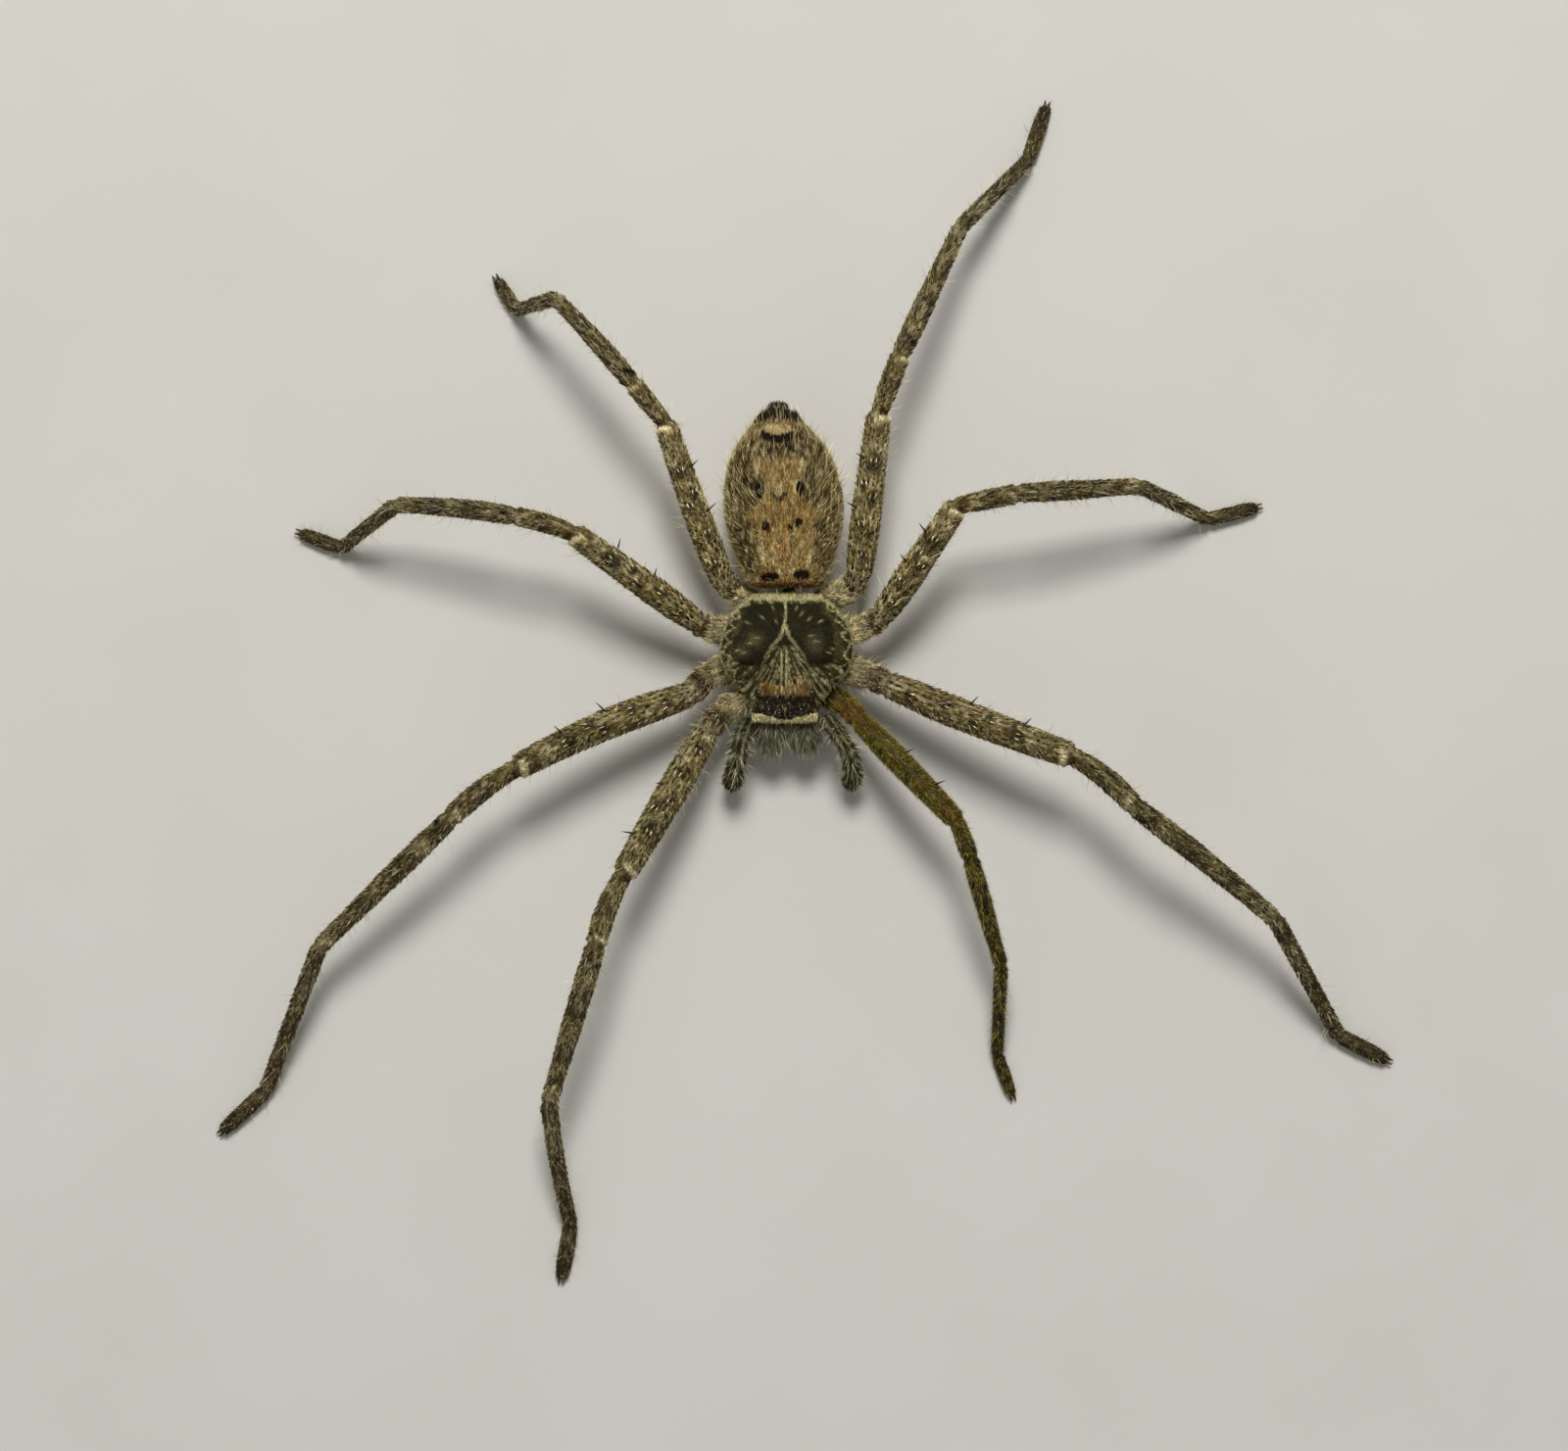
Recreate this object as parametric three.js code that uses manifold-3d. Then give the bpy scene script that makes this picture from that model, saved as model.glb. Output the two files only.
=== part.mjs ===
// Huntsman spider at life size, resting flat with its legs spread to the sides.
// Its left front leg has grown back after a loss and is short and thin.
// Millimetres, +Z up, floor at z = 0, head toward -Y. The sizes below are taken in the body's own
// frame, whose origin is on the floor under the front edge of the head; the last lines centre it.
import * as THREE from "three";
import { mergeVertices } from "three/addons/utils/BufferGeometryUtils.js";
import Module from "manifold-3d";

const wasm = await Module();
wasm.setup();

// Room between two pieces that meet
const gap = 0.3;

// Outlines along the body, each a list of [y, size]
const midlineX = [[0, -0.19], [5.5, 0], [10.2, -0.07], [17, -0.26], [24.4, -0.7]];
const carapace = {
  front: 0,
  rear: 9.95,
  underside: 5.75,
  rimThickness: 0.25,
  halfWidth: [[0, 2.45], [1.1, 2.65], [2.7, 3.6], [3.9, 4.6], [5.5, 5.1], [7.4, 4.65], [8.9, 3.7],
    [9.95, 2.3]],
  top: [[0, 6.15], [0.8, 6.85], [2.3, 7.55], [4.5, 8.05], [6.5, 7.95], [8.4, 7.25], [9.95, 6.1]],
  domePower: 0.75,
};
const sternum = {
  front: 1.75,
  rear: 9.3,
  top: 5.4,
  halfWidth: [[1.75, 1.3], [2.6, 1.6], [4.6, 2.3], [6.6, 2.3], [8.2, 1.6], [9.3, 0.8]],
  underside: [[1.75, 2.7], [3.5, 2.8], [6.5, 2.85], [9.3, 3.4]],
};
const abdomen = {
  front: 10.3,
  rear: 23.6,
  halfWidth: [[10.3, 2.55], [10.9, 3.15], [13, 3.94], [14.8, 4.42], [16.9, 4.62], [19.4, 4.24],
    [21, 3.56], [22.4, 2.5], [23.2, 1.65], [23.6, 0.9]],
  top: [[10.3, 6.9], [11.5, 8], [14, 8.85], [17, 9.05], [20, 8.5], [22.3, 7.3], [23.2, 6.6],
    [23.6, 6]],
  underside: [[10.3, 4.9], [12, 3.3], [15, 2.35], [18, 2.2], [21, 2.8], [22.6, 3.7], [23.6, 4.8]],
};
const pedicel = { radius: 0.65, height: 4.5, inside: 2 };

// Eyes: [sideways from the midline, back from the head's front edge, radius]
const eyes = {
  front_median: [0.43, 0.73, 0.24],
  front_lateral: [1.22, 0.98, 0.3],
  rear_median: [0.6, 1.95, 0.28],
  rear_lateral: [2.05, 2.3, 0.27],
};
const eyeRoom = 0.15;
const eyeSink = 0.06;

// Mouth, jaws and spinning organs
const jaw = {
  middle: 0.1,
  sideways: 1.32,
  from: { y: 1.35, z: 4.65 },
  to: { y: -1.75, z: 2.9 },
  radii: [0.8, 1.02, 1.16, 1.17, 1.12, 0.98, 0.74],
  fang: [[1.4, -1.3, 3.05], [1.55, -2.35, 1.6], [0.45, -1.2, 1.65]],
  fangRadii: [0.36, 0.34, 0.28, 0.2, 0.08],
};
const mouth = {
  base: { centre: [0, 1.06, 2.62], size: [1.45, 0.4, 0.5] },
  lip: { centre: [0, 0.75, 2.15], size: [0.5, 0.62, 0.42] },
  lobe: { centre: [1.1, 0.68, 1.98], size: [0.52, 0.9, 0.42], tiltDegrees: 24 },
};
const spinning = {
  base: { y: 23.9, z: 5.1, radius: 0.8, depth: 0.25 },
  lower: { sideways: 0.36, drop: 0.3, radius: 0.34, length: 0.7, splay: 0.12, dip: 1.1 },
  tubercle: { rise: 0.3, radius: 0.36, length: 0.45 },
};

// Legs, from the sternum out. Lengths, headings (degrees anticlockwise from +X, seen from above)
// and the heights of the joints go coxa, trochanter, femur, patella, tibia, metatarsus, tarsus.
// Bow is how far the middle of a piece curves to its right, as seen from the body.
const legs = {
  r1: {
    root: [-1.95, 2.6],
    lengths: [3.3, 2, 13.1, 5.8, 12.9, 11.6, 4.3],
    headings: [-150, -130, -120, -111, -107, -82, -100],
    heights: [4.15, 4.3, 4.5, 8, 9, 6.5, 0.68, 0.42],
    girth: 1.03,
    bow: { patella: 0.25, metatarsus: 0.15 },
  },
  r2: {
    root: [-2.65, 4.6],
    lengths: [3.5, 2.1, 14.6, 6.23, 14.4, 13.1, 4.7],
    headings: [-166, -130, -157, -142.6, -135.9, -112.2, -137],
    heights: [4.15, 4.35, 4.6, 7.2, 7.6, 5.2, 0.68, 0.42],
    girth: 1.03,
    bow: { femur: 0.4, patella: 0.25 },
  },
  r3: {
    root: [-2.65, 6.7],
    lengths: [3.6, 0.9, 12.1, 4.6, 9.44, 8.6, 3.46],
    headings: [172, 142, 144.5, 164, 174.2, -147.6, 159.9],
    heights: [4.15, 4.4, 4.7, 8.6, 9.2, 7.2, 0.68, 0.42],
    girth: 0.93,
    bow: { patella: 0.15, tibia: 0.2 },
  },
  r4: {
    root: [-1.8, 8.75],
    lengths: [2.6, 1.1, 13.4, 3.9, 8.9, 7.7, 2.9],
    headings: [148, 149, 110, 130, 132, -175, 122],
    heights: [4.15, 4.3, 4.9, 8.3, 9, 7.6, 0.68, 0.42],
    girth: 0.9,
    bow: { femur: -0.12, tibia: 0.1 },
  },
  l1: {
    root: [1.95, 2.6],
    lengths: [2.8, 1.6, 11.1, 3, 9, 8.3, 3.5],
    headings: [-24, -51, -46, -70, -73.6, -91, -70],
    heights: [4.15, 4.35, 4.8, 7.6, 7.4, 5, 0.64, 0.4],
    girth: 0.86,
  },
  l2: {
    root: [2.65, 4.6],
    lengths: [3.9, 1.4, 15.4, 6.1, 14.03, 12.3, 4.3],
    headings: [-15, -25, -21.5, -39.3, -38.4, -59.1, -27],
    heights: [4.15, 4.35, 4.6, 8, 8.6, 6.6, 0.68, 0.42],
    girth: 1.05,
    bow: { femur: 0.15, patella: -0.3, tibia: -0.12 },
  },
  l3: {
    root: [2.65, 6.7],
    lengths: [3.7, 1.4, 10.7, 4.7, 9.6, 9, 4],
    headings: [11, 38, 56, 11, 4, -21, 14],
    heights: [4.15, 4.4, 4.8, 8.8, 9.3, 7.2, 0.68, 0.42],
    girth: 0.95,
  },
  l4: {
    root: [1.8, 8.75],
    lengths: [3.5, 1.1, 12.9, 4.7, 11.2, 9.6, 4.4],
    headings: [27, 55, 83, 69.5, 65, 46.8, 71.5],
    heights: [4.15, 4.35, 4.9, 8, 8.4, 6, 0.68, 0.42],
    girth: 0.98,
  },
};

// Half the thickness of each leg piece, evenly spaced from its base to its tip
const legRadii = {
  coxa: [0.86, 1, 1.1, 1.12, 1.02],
  trochanter: [0.94, 1.06, 0.98],
  femur: [0.96, 1.1, 1.17, 1.15, 1.1, 1.04, 0.96],
  patella: [0.68, 0.8, 0.85, 0.78],
  tibia: [0.76, 0.84, 0.83, 0.77, 0.7, 0.67],
  metatarsus: [0.68, 0.66, 0.63, 0.61, 0.6],
  tarsus: [0.6, 0.65, 0.65, 0.61, 0.48],
};
const pieceNames = Object.keys(legRadii);
const soleHeight = 0.26;
const arch = { femur: 0.3, tibia: 0.12, metatarsus: 0.15 };

// Spines of each leg piece: their lean along the leg in degrees from upright, and their rows, each
// with its turn round the piece (0 at the side toward the head, 90 at the top), the places along
// it, and the spines' length
const spinePieces = {
  femur: {
    lean: 32,
    rows: [
      { turn: 70, at: [0.3, 0.56], length: 1.3 },
      { turn: 115, at: [0.44, 0.74], length: 1.3 },
    ],
  },
  patella: {
    lean: 60,
    rows: [
      { turn: 62, at: [0.5], length: 1.1 },
      { turn: 118, at: [0.5], length: 1.1 },
    ],
  },
  tibia: {
    lean: 72,
    rows: [
      { turn: 62, at: [0.25, 0.6], length: 1.7 },
      { turn: 118, at: [0.25, 0.6], length: 1.7 },
      { turn: -66, at: [0.18, 0.44, 0.7], length: 1.9 },
      { turn: -114, at: [0.18, 0.44, 0.7], length: 1.9 },
    ],
  },
  metatarsus: {
    lean: 72,
    rows: [
      { turn: 60, at: [0.2, 0.48], length: 1.7 },
      { turn: 120, at: [0.2, 0.48], length: 1.7 },
      { turn: -64, at: [0.16, 0.4], length: 2 },
      { turn: -116, at: [0.16, 0.4], length: 2 },
    ],
  },
};
const spine = {
  radius: 0.27,
  sides: 4,
  sunk: 0.35,
  lengthVariation: 0.18,
  placeVariation: 0.03,
  turnVariation: 8,
  seed: 7,
};
const claw = { radii: [0.25, 0.2, 0.07], length: 0.5, apart: 0.14, drop: 0.2, sunk: 0.35 };

// Feelers beside the jaws: femur, patella, tibia, tarsus, given as the legs are
const palps = {
  r: { root: [-2.95, 0.22], lengths: [2.3, 1.25, 1.9, 3.0], headings: [-110, -98, -106, -101],
    heights: [3.95, 5.35, 5.3, 3.9, 1.05] },
  l: { root: [3, 0.55], lengths: [2.75, 1.25, 1.9, 2.9], headings: [-57, -62, -80, -95],
    heights: [3.95, 5.35, 5.2, 3.7, 1.05] },
};
const palpRadii = {
  femur: [0.5, 0.6, 0.64, 0.6],
  patella: [0.56, 0.66, 0.63],
  tibia: [0.6, 0.66, 0.65],
  tarsus: [0.6, 0.68, 0.6, 0.3],
};

// Finishes
const finish = (color, roughness) =>
  new THREE.MeshStandardMaterial({ color, roughness, metalness: 0 });
const finishes = {
  carapace: finish("#6b5a44", 0.75),
  abdomen: finish("#8a7a66", 0.85),
  leg: finish("#8d7a58", 0.75),
  regrownLeg: finish("#7b6440", 0.7),
  foot: finish("#4a4038", 0.85),
  sternum: finish("#9a8660", 0.7),
  jaw: finish("#2c2220", 0.45),
  palp: finish("#8c8672", 0.8),
  spinneret: finish("#4b4440", 0.85),
  eye: finish("#0b0908", 0.08),
};

// A smooth function of y through a list of [y, value]
function through(points) {
  const slope = (i, j) => (points[j][1] - points[i][1]) / (points[j][0] - points[i][0]);
  const last = points.length - 1;
  const slopes = points.map((point, i) => slope(Math.max(i - 1, 0), Math.min(i + 1, last)));
  return (y) => {
    const k = Math.min(Math.max(points.findIndex((point) => point[0] > y), 1), last);
    const i = y >= points[last][0] ? last : k;
    const span = points[i][0] - points[i - 1][0];
    const s = THREE.MathUtils.clamp((y - points[i - 1][0]) / span, 0, 1);
    const rise = s * s * (3 - 2 * s);
    const bend = slopes[i - 1] * s * (1 - s) ** 2 - slopes[i] * s * s * (1 - s);
    return THREE.MathUtils.lerp(points[i - 1][1], points[i][1], rise) + bend * span;
  };
}

const midline = through(midlineX);
const carapaceHalfWidth = through(carapace.halfWidth);
const carapaceTop = through(carapace.top);

// The value at t, from 0 to 1, of evenly spaced sizes
function along(sizes, t) {
  const place = t * (sizes.length - 1);
  const i = Math.min(Math.floor(place), sizes.length - 2);
  return THREE.MathUtils.lerp(sizes[i], sizes[i + 1], place - i);
}

function turnedOutward(geometry) {
  const spot = geometry.getAttribute("position");
  const corner = [new THREE.Vector3(), new THREE.Vector3(), new THREE.Vector3()];
  const order = geometry.index.array;
  let volume = 0;
  for (let i = 0; i < order.length; i += 3) {
    corner.forEach((point, j) => point.fromBufferAttribute(spot, order[i + j]));
    volume += corner[0].dot(corner[1].cross(corner[2]));
  }
  if (volume < 0) {
    for (let i = 0; i < order.length; i += 3) {
      [order[i + 1], order[i + 2]] = [order[i + 2], order[i + 1]];
    }
  }
  return geometry;
}

function welded(geometry) {
  geometry.deleteAttribute("normal");
  geometry.deleteAttribute("uv");
  return turnedOutward(mergeVertices(geometry, 1e-4));
}

// A closed tube whose points are set by place(t, angle, rim): t runs from end to end, the angle
// goes round, and rim is 0 at the middle of an end face and 1 on the wall
function shaped(sides, steps, place) {
  const geometry = new THREE.CylinderGeometry(1, 1, 1, sides, steps);
  const spot = geometry.getAttribute("position");
  const step = (2 * Math.PI) / sides;
  for (let i = 0; i < spot.count; i++) {
    const rim = Math.hypot(spot.getX(i), spot.getZ(i)) > 0.5 ? 1 : 0;
    const side = Math.round(Math.atan2(spot.getZ(i), spot.getX(i)) / step);
    const t = Math.round((0.5 - spot.getY(i)) * steps) / steps;
    spot.setXYZ(i, ...place(t, ((side + sides) % sides) * step, rim));
  }
  return welded(geometry);
}

function solidOf(geometry) {
  const vertProperties = geometry.getAttribute("position").array;
  const triVerts = new Uint32Array(geometry.index.array);
  return new wasm.Manifold(new wasm.Mesh({ numProp: 3, vertProperties, triVerts }));
}

// Numbers from 0 to 1 in an order that the seed fixes
function seeded(seed) {
  let state = seed;
  return () => {
    state = (state * 1664525 + 1013904223) % 4294967296;
    return state / 4294967296;
  };
}

// The largest closed body of a solid, as a geometry
function geometryOf(solid) {
  const bodies = solid.decompose().sort((a, b) => b.volume() - a.volume());
  const { vertProperties, triVerts } = bodies[0].getMesh();
  const geometry = new THREE.BufferGeometry();
  geometry.setAttribute("position", new THREE.BufferAttribute(vertProperties, 3));
  geometry.setIndex(new THREE.BufferAttribute(triVerts, 1));
  return geometry;
}

function joined(geometries) {
  return geometryOf(geometries.map(solidOf).reduce((whole, piece) => whole.add(piece)));
}

const spider = new THREE.Group();

function addPart(name, geometry, material) {
  geometry.computeVertexNormals();
  const part = new THREE.Mesh(geometry, material);
  part.name = name;
  spider.add(part);
}

// A point of a rounded cross-section, between a lower and an upper height
function sectionPoint(x, y, halfWidth, low, high, angle, squareness) {
  const swell = (value) => Math.sign(value) * Math.abs(value) ** squareness;
  const middle = (low + high) / 2;
  const half = (high - low) / 2;
  return [x + halfWidth * swell(Math.cos(angle)), y, middle + half * swell(Math.sin(angle))];
}

// Height of the carapace's back above a point of its plan
function carapaceHeight(x, y) {
  const rim = carapace.underside + carapace.rimThickness;
  const across = Math.min(Math.abs(x - midline(y)) / carapaceHalfWidth(y), 1);
  return rim + (carapaceTop(y) - rim) * Math.sqrt(1 - across ** 2) ** carapace.domePower;
}

function eyePlaces() {
  return Object.entries(eyes).flatMap(([name, [sideways, y, radius]]) =>
    [-1, 1].map((side) => {
      const x = midline(y) + side * sideways;
      const z = carapaceHeight(x, y) - eyeSink;
      return { name: `eye_${name}_${side < 0 ? "r" : "l"}`, centre: [x, y, z], radius };
    }));
}

function ball(radius, centre, detail) {
  const geometry = new THREE.IcosahedronGeometry(radius, detail);
  return welded(geometry.translate(...centre));
}

function makeCarapace() {
  const length = carapace.rear - carapace.front;
  const rim = carapace.underside + carapace.rimThickness;
  const shell = shaped(30, 16, (t, angle, onWall) => {
    const y = carapace.front + (length * (1 - Math.cos(Math.PI * t))) / 2;
    const x = midline(y) + onWall * carapaceHalfWidth(y) * Math.cos(angle);
    if (!onWall) return [x, y, rim];
    const under = Math.sin(angle) < -1e-6;
    return [x, y, under ? carapace.underside : carapaceHeight(x, y)];
  });
  let solid = solidOf(shell);
  for (const { centre, radius } of eyePlaces()) {
    solid = solid.subtract(solidOf(ball(radius + eyeRoom, centre, 1)));
  }
  addPart("carapace", geometryOf(solid), finishes.carapace);
}

function makeEyes() {
  for (const { name, centre, radius } of eyePlaces()) {
    addPart(name, ball(radius, centre, 1), finishes.eye);
  }
}

function makeSternum() {
  const halfWidth = through(sternum.halfWidth);
  const underside = through(sternum.underside);
  const core = shaped(18, 8, (t, angle, onWall) => {
    const y = THREE.MathUtils.lerp(sternum.front, sternum.rear, t);
    return sectionPoint(0, y, onWall * halfWidth(y), underside(y), sternum.top, angle, 0.55);
  });
  addPart("sternum", core, finishes.sternum);
}

// A piece's directions: forward along it, level to its side, and up square to both
function directionsOf(run) {
  const forward = run.clone().normalize();
  const side = new THREE.Vector3().crossVectors(forward, new THREE.Vector3(0, 0, 1)).normalize();
  const up = new THREE.Vector3().crossVectors(side, forward);
  return { forward, side, up };
}

// A limb of one or more pieces through joints, its end faces in the planes that it shares with
// its neighbours, each set back by half a gap
function limbRings(joints, planes, pieces, girth, stepsOfPieces) {
  const rings = [];
  const bevel = 0.3;
  pieces.forEach(({ radii, rise = 0, bow = 0 }, k) => {
    const start = joints[k];
    const run = joints[k + 1].clone().sub(start);
    const { forward, side, up } = directionsOf(run);
    const steps = stepsOfPieces[k];
    for (let i = k === 0 ? 0 : 1; i <= steps; i++) {
      const t = i / steps;
      const plane = t < 0.5 ? planes[k] : planes[k + 1];
      const tilt = Math.max(0, 1 - Math.min(t, 1 - t) / bevel);
      const centre = start.clone().addScaledVector(run, t);
      centre.addScaledVector(up, 4 * rise * t * (1 - t));
      centre.addScaledVector(side, 4 * bow * t * (1 - t));
      const first = k === 0 && i === 0;
      const last = k === pieces.length - 1 && i === steps;
      const back = first ? 1 : last ? -1 : 0;
      centre.addScaledVector(forward, (back * gap) / 2 / forward.dot(plane));
      rings.push({ centre, forward, side, up, plane, tilt, radius: along(radii, t) * girth });
    }
  });
  return rings;
}

function limb(rings, sides, shape = (point) => point) {
  return shaped(sides, rings.length - 1, (t, angle, onWall) => {
    const ring = rings[Math.round(t * (rings.length - 1))];
    const reach = onWall * ring.radius;
    const offset = ring.side.clone().multiplyScalar(reach * Math.cos(angle));
    offset.addScaledVector(ring.up, reach * Math.sin(angle));
    const slide = (-ring.tilt * offset.dot(ring.plane)) / ring.forward.dot(ring.plane);
    offset.addScaledVector(ring.forward, slide);
    return shape(ring.centre.clone().add(offset)).toArray();
  });
}

// Joints of a limb from its root, and the plane that each joint's two pieces share
function jointsOf(root, lengths, headings, heights) {
  const joints = [new THREE.Vector3(root[0], root[1], heights[0])];
  lengths.forEach((length, i) => {
    const rise = heights[i + 1] - heights[i];
    const reach = Math.sqrt(length ** 2 - rise ** 2);
    const heading = THREE.MathUtils.degToRad(headings[i]);
    const step = new THREE.Vector3(reach * Math.cos(heading), reach * Math.sin(heading), rise);
    joints.push(joints[i].clone().add(step));
  });
  return joints;
}

function planesOf(joints) {
  const ways = joints.slice(1).map((joint, i) => joint.clone().sub(joints[i]).normalize());
  return joints.map((joint, i) => {
    const before = ways[Math.max(i - 1, 0)];
    const after = ways[Math.min(i, ways.length - 1)];
    return before.clone().add(after).normalize();
  });
}

// A curved horn through three points, thinning along the given radii
function horn(points, radii, sides, steps) {
  const curve = new THREE.QuadraticBezierCurve3(...points);
  const bend = new THREE.Vector3().subVectors(points[1], points[0]);
  const side = bend.cross(new THREE.Vector3().subVectors(points[2], points[1])).normalize();
  return shaped(sides, steps, (t, angle, onWall) => {
    const reach = onWall * along(radii, t);
    const point = curve.getPoint(t).addScaledVector(side, reach * Math.cos(angle));
    const across = new THREE.Vector3().crossVectors(side, curve.getTangent(t));
    return point.addScaledVector(across, reach * Math.sin(angle)).toArray();
  });
}

function cone(radius, length, sides, root, way, sunk) {
  const geometry = new THREE.ConeGeometry(radius, length + sunk, sides);
  geometry.translate(0, (length + sunk) / 2 - sunk, 0);
  const turn = new THREE.Quaternion().setFromUnitVectors(new THREE.Vector3(0, 1, 0), way);
  return welded(geometry.applyQuaternion(turn).translate(...root.toArray()));
}

// The spines of one leg piece, in rows that the leg's side of the body mirrors
function spinesOf({ name, radii, rise = 0, bow = 0 }, start, end, girth, bodySide, random) {
  const run = end.clone().sub(start);
  const { forward, side, up } = directionsOf(run);
  const vary = (amount) => (random() * 2 - 1) * amount;
  const { lean, rows } = spinePieces[name] ?? { lean: 0, rows: [] };
  const slant = THREE.MathUtils.degToRad(lean);
  return rows.flatMap(({ turn, at, length }) =>
    at.map((place) => {
      const t = place + vary(spine.placeVariation);
      const angle = THREE.MathUtils.degToRad(turn + vary(spine.turnVariation));
      const out = side.clone().multiplyScalar(bodySide * Math.cos(angle));
      out.addScaledVector(up, Math.sin(angle));
      const root = start.clone().addScaledVector(run, t);
      root.addScaledVector(up, 4 * rise * t * (1 - t));
      root.addScaledVector(side, 4 * bow * t * (1 - t));
      root.addScaledVector(out, along(radii, t) * girth * 0.97);
      const way = out.multiplyScalar(Math.cos(slant)).addScaledVector(forward, Math.sin(slant));
      const reach = length * (1 + vary(spine.lengthVariation));
      return cone(spine.radius, reach, spine.sides, root, way, spine.sunk);
    }));
}

function clawsOf(joints) {
  const tip = joints[joints.length - 1];
  const { forward, side } = directionsOf(tip.clone().sub(joints[joints.length - 2]).setZ(0));
  return [-1, 1].map((hand) => {
    const at = (ahead, height) => {
      const point = tip.clone().addScaledVector(forward, ahead).setZ(height);
      return point.addScaledVector(side, hand * claw.apart * (1 + Math.max(ahead, 0)));
    };
    const points = [at(-claw.sunk, tip.z), at(claw.length * 0.7, tip.z + 0.1),
      at(claw.length, tip.z - claw.drop)];
    return horn(points, claw.radii, 5, 3);
  });
}

function makeLeg(legName, leg) {
  const joints = jointsOf(leg.root, leg.lengths, leg.headings, leg.heights);
  const planes = planesOf(joints);
  planes[0].setZ(0).normalize();
  const legFinish = legName === "l1" ? finishes.regrownLeg : finishes.leg;
  const bodySide = legName[0] === "r" ? -1 : 1;
  const random = seeded(spine.seed + Object.keys(legs).indexOf(legName));

  const piece = (first, count, steps, sides, shape) => {
    const span = (list, extra) => list.slice(first, first + count + extra);
    const pieces = span(pieceNames, 0).map((name) => (
      { name, radii: legRadii[name], rise: arch[name], bow: leg.bow?.[name] }));
    const rings = limbRings(span(joints, 1), span(planes, 1), pieces, leg.girth, steps);
    const spines = pieces.flatMap((form, i) =>
      spinesOf(form, joints[first + i], joints[first + i + 1], leg.girth, bodySide, random));
    return [limb(rings, sides, shape), ...spines];
  };

  addPart(`leg_${legName}_hip`, joined(piece(0, 2, [4, 3], 10)), legFinish);
  addPart(`leg_${legName}_femur`, joined(piece(2, 1, [6], 12)), legFinish);
  addPart(`leg_${legName}_tibia`, joined(piece(3, 2, [3, 5], 12)), legFinish);
  addPart(`leg_${legName}_metatarsus`, joined(piece(5, 1, [5], 10)), legFinish);

  const onFloor = (point) => point.setZ(point.z < soleHeight ? 0 : point.z);
  const foot = [...piece(6, 1, [5], 10, onFloor), ...clawsOf(joints)];
  addPart(`leg_${legName}_tarsus`, joined(foot), finishes.foot);
}

function makeAbdomen() {
  const halfWidth = through(abdomen.halfWidth);
  const top = through(abdomen.top);
  const underside = through(abdomen.underside);
  const length = abdomen.rear - abdomen.front;
  const sac = shaped(24, 16, (t, angle, onWall) => {
    const y = abdomen.front + (length * (1 - Math.cos(Math.PI * t))) / 2;
    return sectionPoint(midline(y), y, onWall * halfWidth(y), underside(y), top(y), angle, 0.95);
  });
  const joints = [
    new THREE.Vector3(0, sternum.rear + gap / 2, pedicel.height),
    new THREE.Vector3(0, abdomen.front + pedicel.inside, pedicel.height + 1),
  ];
  const backward = new THREE.Vector3(0, 1, 0);
  const tube = [{ radii: [1, 1] }];
  const stalk = limbRings(joints, [backward, backward], tube, pedicel.radius, [2]);
  addPart("abdomen", joined([sac, limb(stalk, 10)]), finishes.abdomen);
}

function makeSpinnerets() {
  const { y, z, radius, depth } = spinning.base;
  const x = midline(y);
  const base = shaped(14, 2, (t, angle, onWall) => {
    const narrowing = onWall * radius * (1 - 0.25 * t ** 2);
    const height = z + narrowing * 0.8 * Math.sin(angle);
    return [x + narrowing * Math.cos(angle), y + depth * t, height];
  });
  const { lower, tubercle } = spinning;
  const lowerPair = [-1, 1].map((side) => {
    const root = new THREE.Vector3(x + side * lower.sideways, y + 0.3, z - lower.drop);
    const way = new THREE.Vector3(side * lower.splay, 0.75, -lower.dip).normalize();
    return cone(lower.radius, lower.length, 8, root, way, 0.1);
  });
  const above = new THREE.Vector3(x, y + 0.25, z + tubercle.rise);
  const backward = new THREE.Vector3(0, 1, 0.15).normalize();
  const upper = cone(tubercle.radius, tubercle.length, 8, above, backward, 0.1);
  addPart("spinnerets", joined([base, ...lowerPair, upper]), finishes.spinneret);
}

function makeJaw(side) {
  const across = (sideways) => jaw.middle + side * sideways;
  const from = new THREE.Vector3(across(jaw.sideways * 0.85), jaw.from.y - gap / 2, jaw.from.z);
  const to = new THREE.Vector3(across(jaw.sideways), jaw.to.y, jaw.to.z);
  const planes = [new THREE.Vector3(0, -1, 0), to.clone().sub(from).normalize()];
  const rings = limbRings([from, to], planes, [{ radii: jaw.radii }], 1, [7]);
  const block = limb(rings, 14, (point) => {
    const sideways = Math.max(side * (point.x - jaw.middle), gap / 2);
    return point.setX(across(sideways));
  });
  const bend = jaw.fang.map(([x, y, z]) => new THREE.Vector3(across(x), y, z));
  const fang = horn(bend, jaw.fangRadii, 6, 4);
  addPart(`chelicera_${side < 0 ? "r" : "l"}`, joined([block, fang]), finishes.jaw);
}

// The lip and the two lobes beside it, on a common base against the sternum
function makeMouth() {
  const pad = ({ centre, size, tiltDegrees = 0 }, side) => {
    const geometry = ball(1, [0, 0, 0], 1).scale(...size);
    geometry.rotateX(THREE.MathUtils.degToRad(tiltDegrees));
    return geometry.translate(jaw.middle + side * centre[0], centre[1], centre[2]);
  };
  const pads = [pad(mouth.base, 1), pad(mouth.lip, 1), pad(mouth.lobe, -1), pad(mouth.lobe, 1)];
  addPart("mouthparts", joined(pads), finishes.sternum);
}

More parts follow.
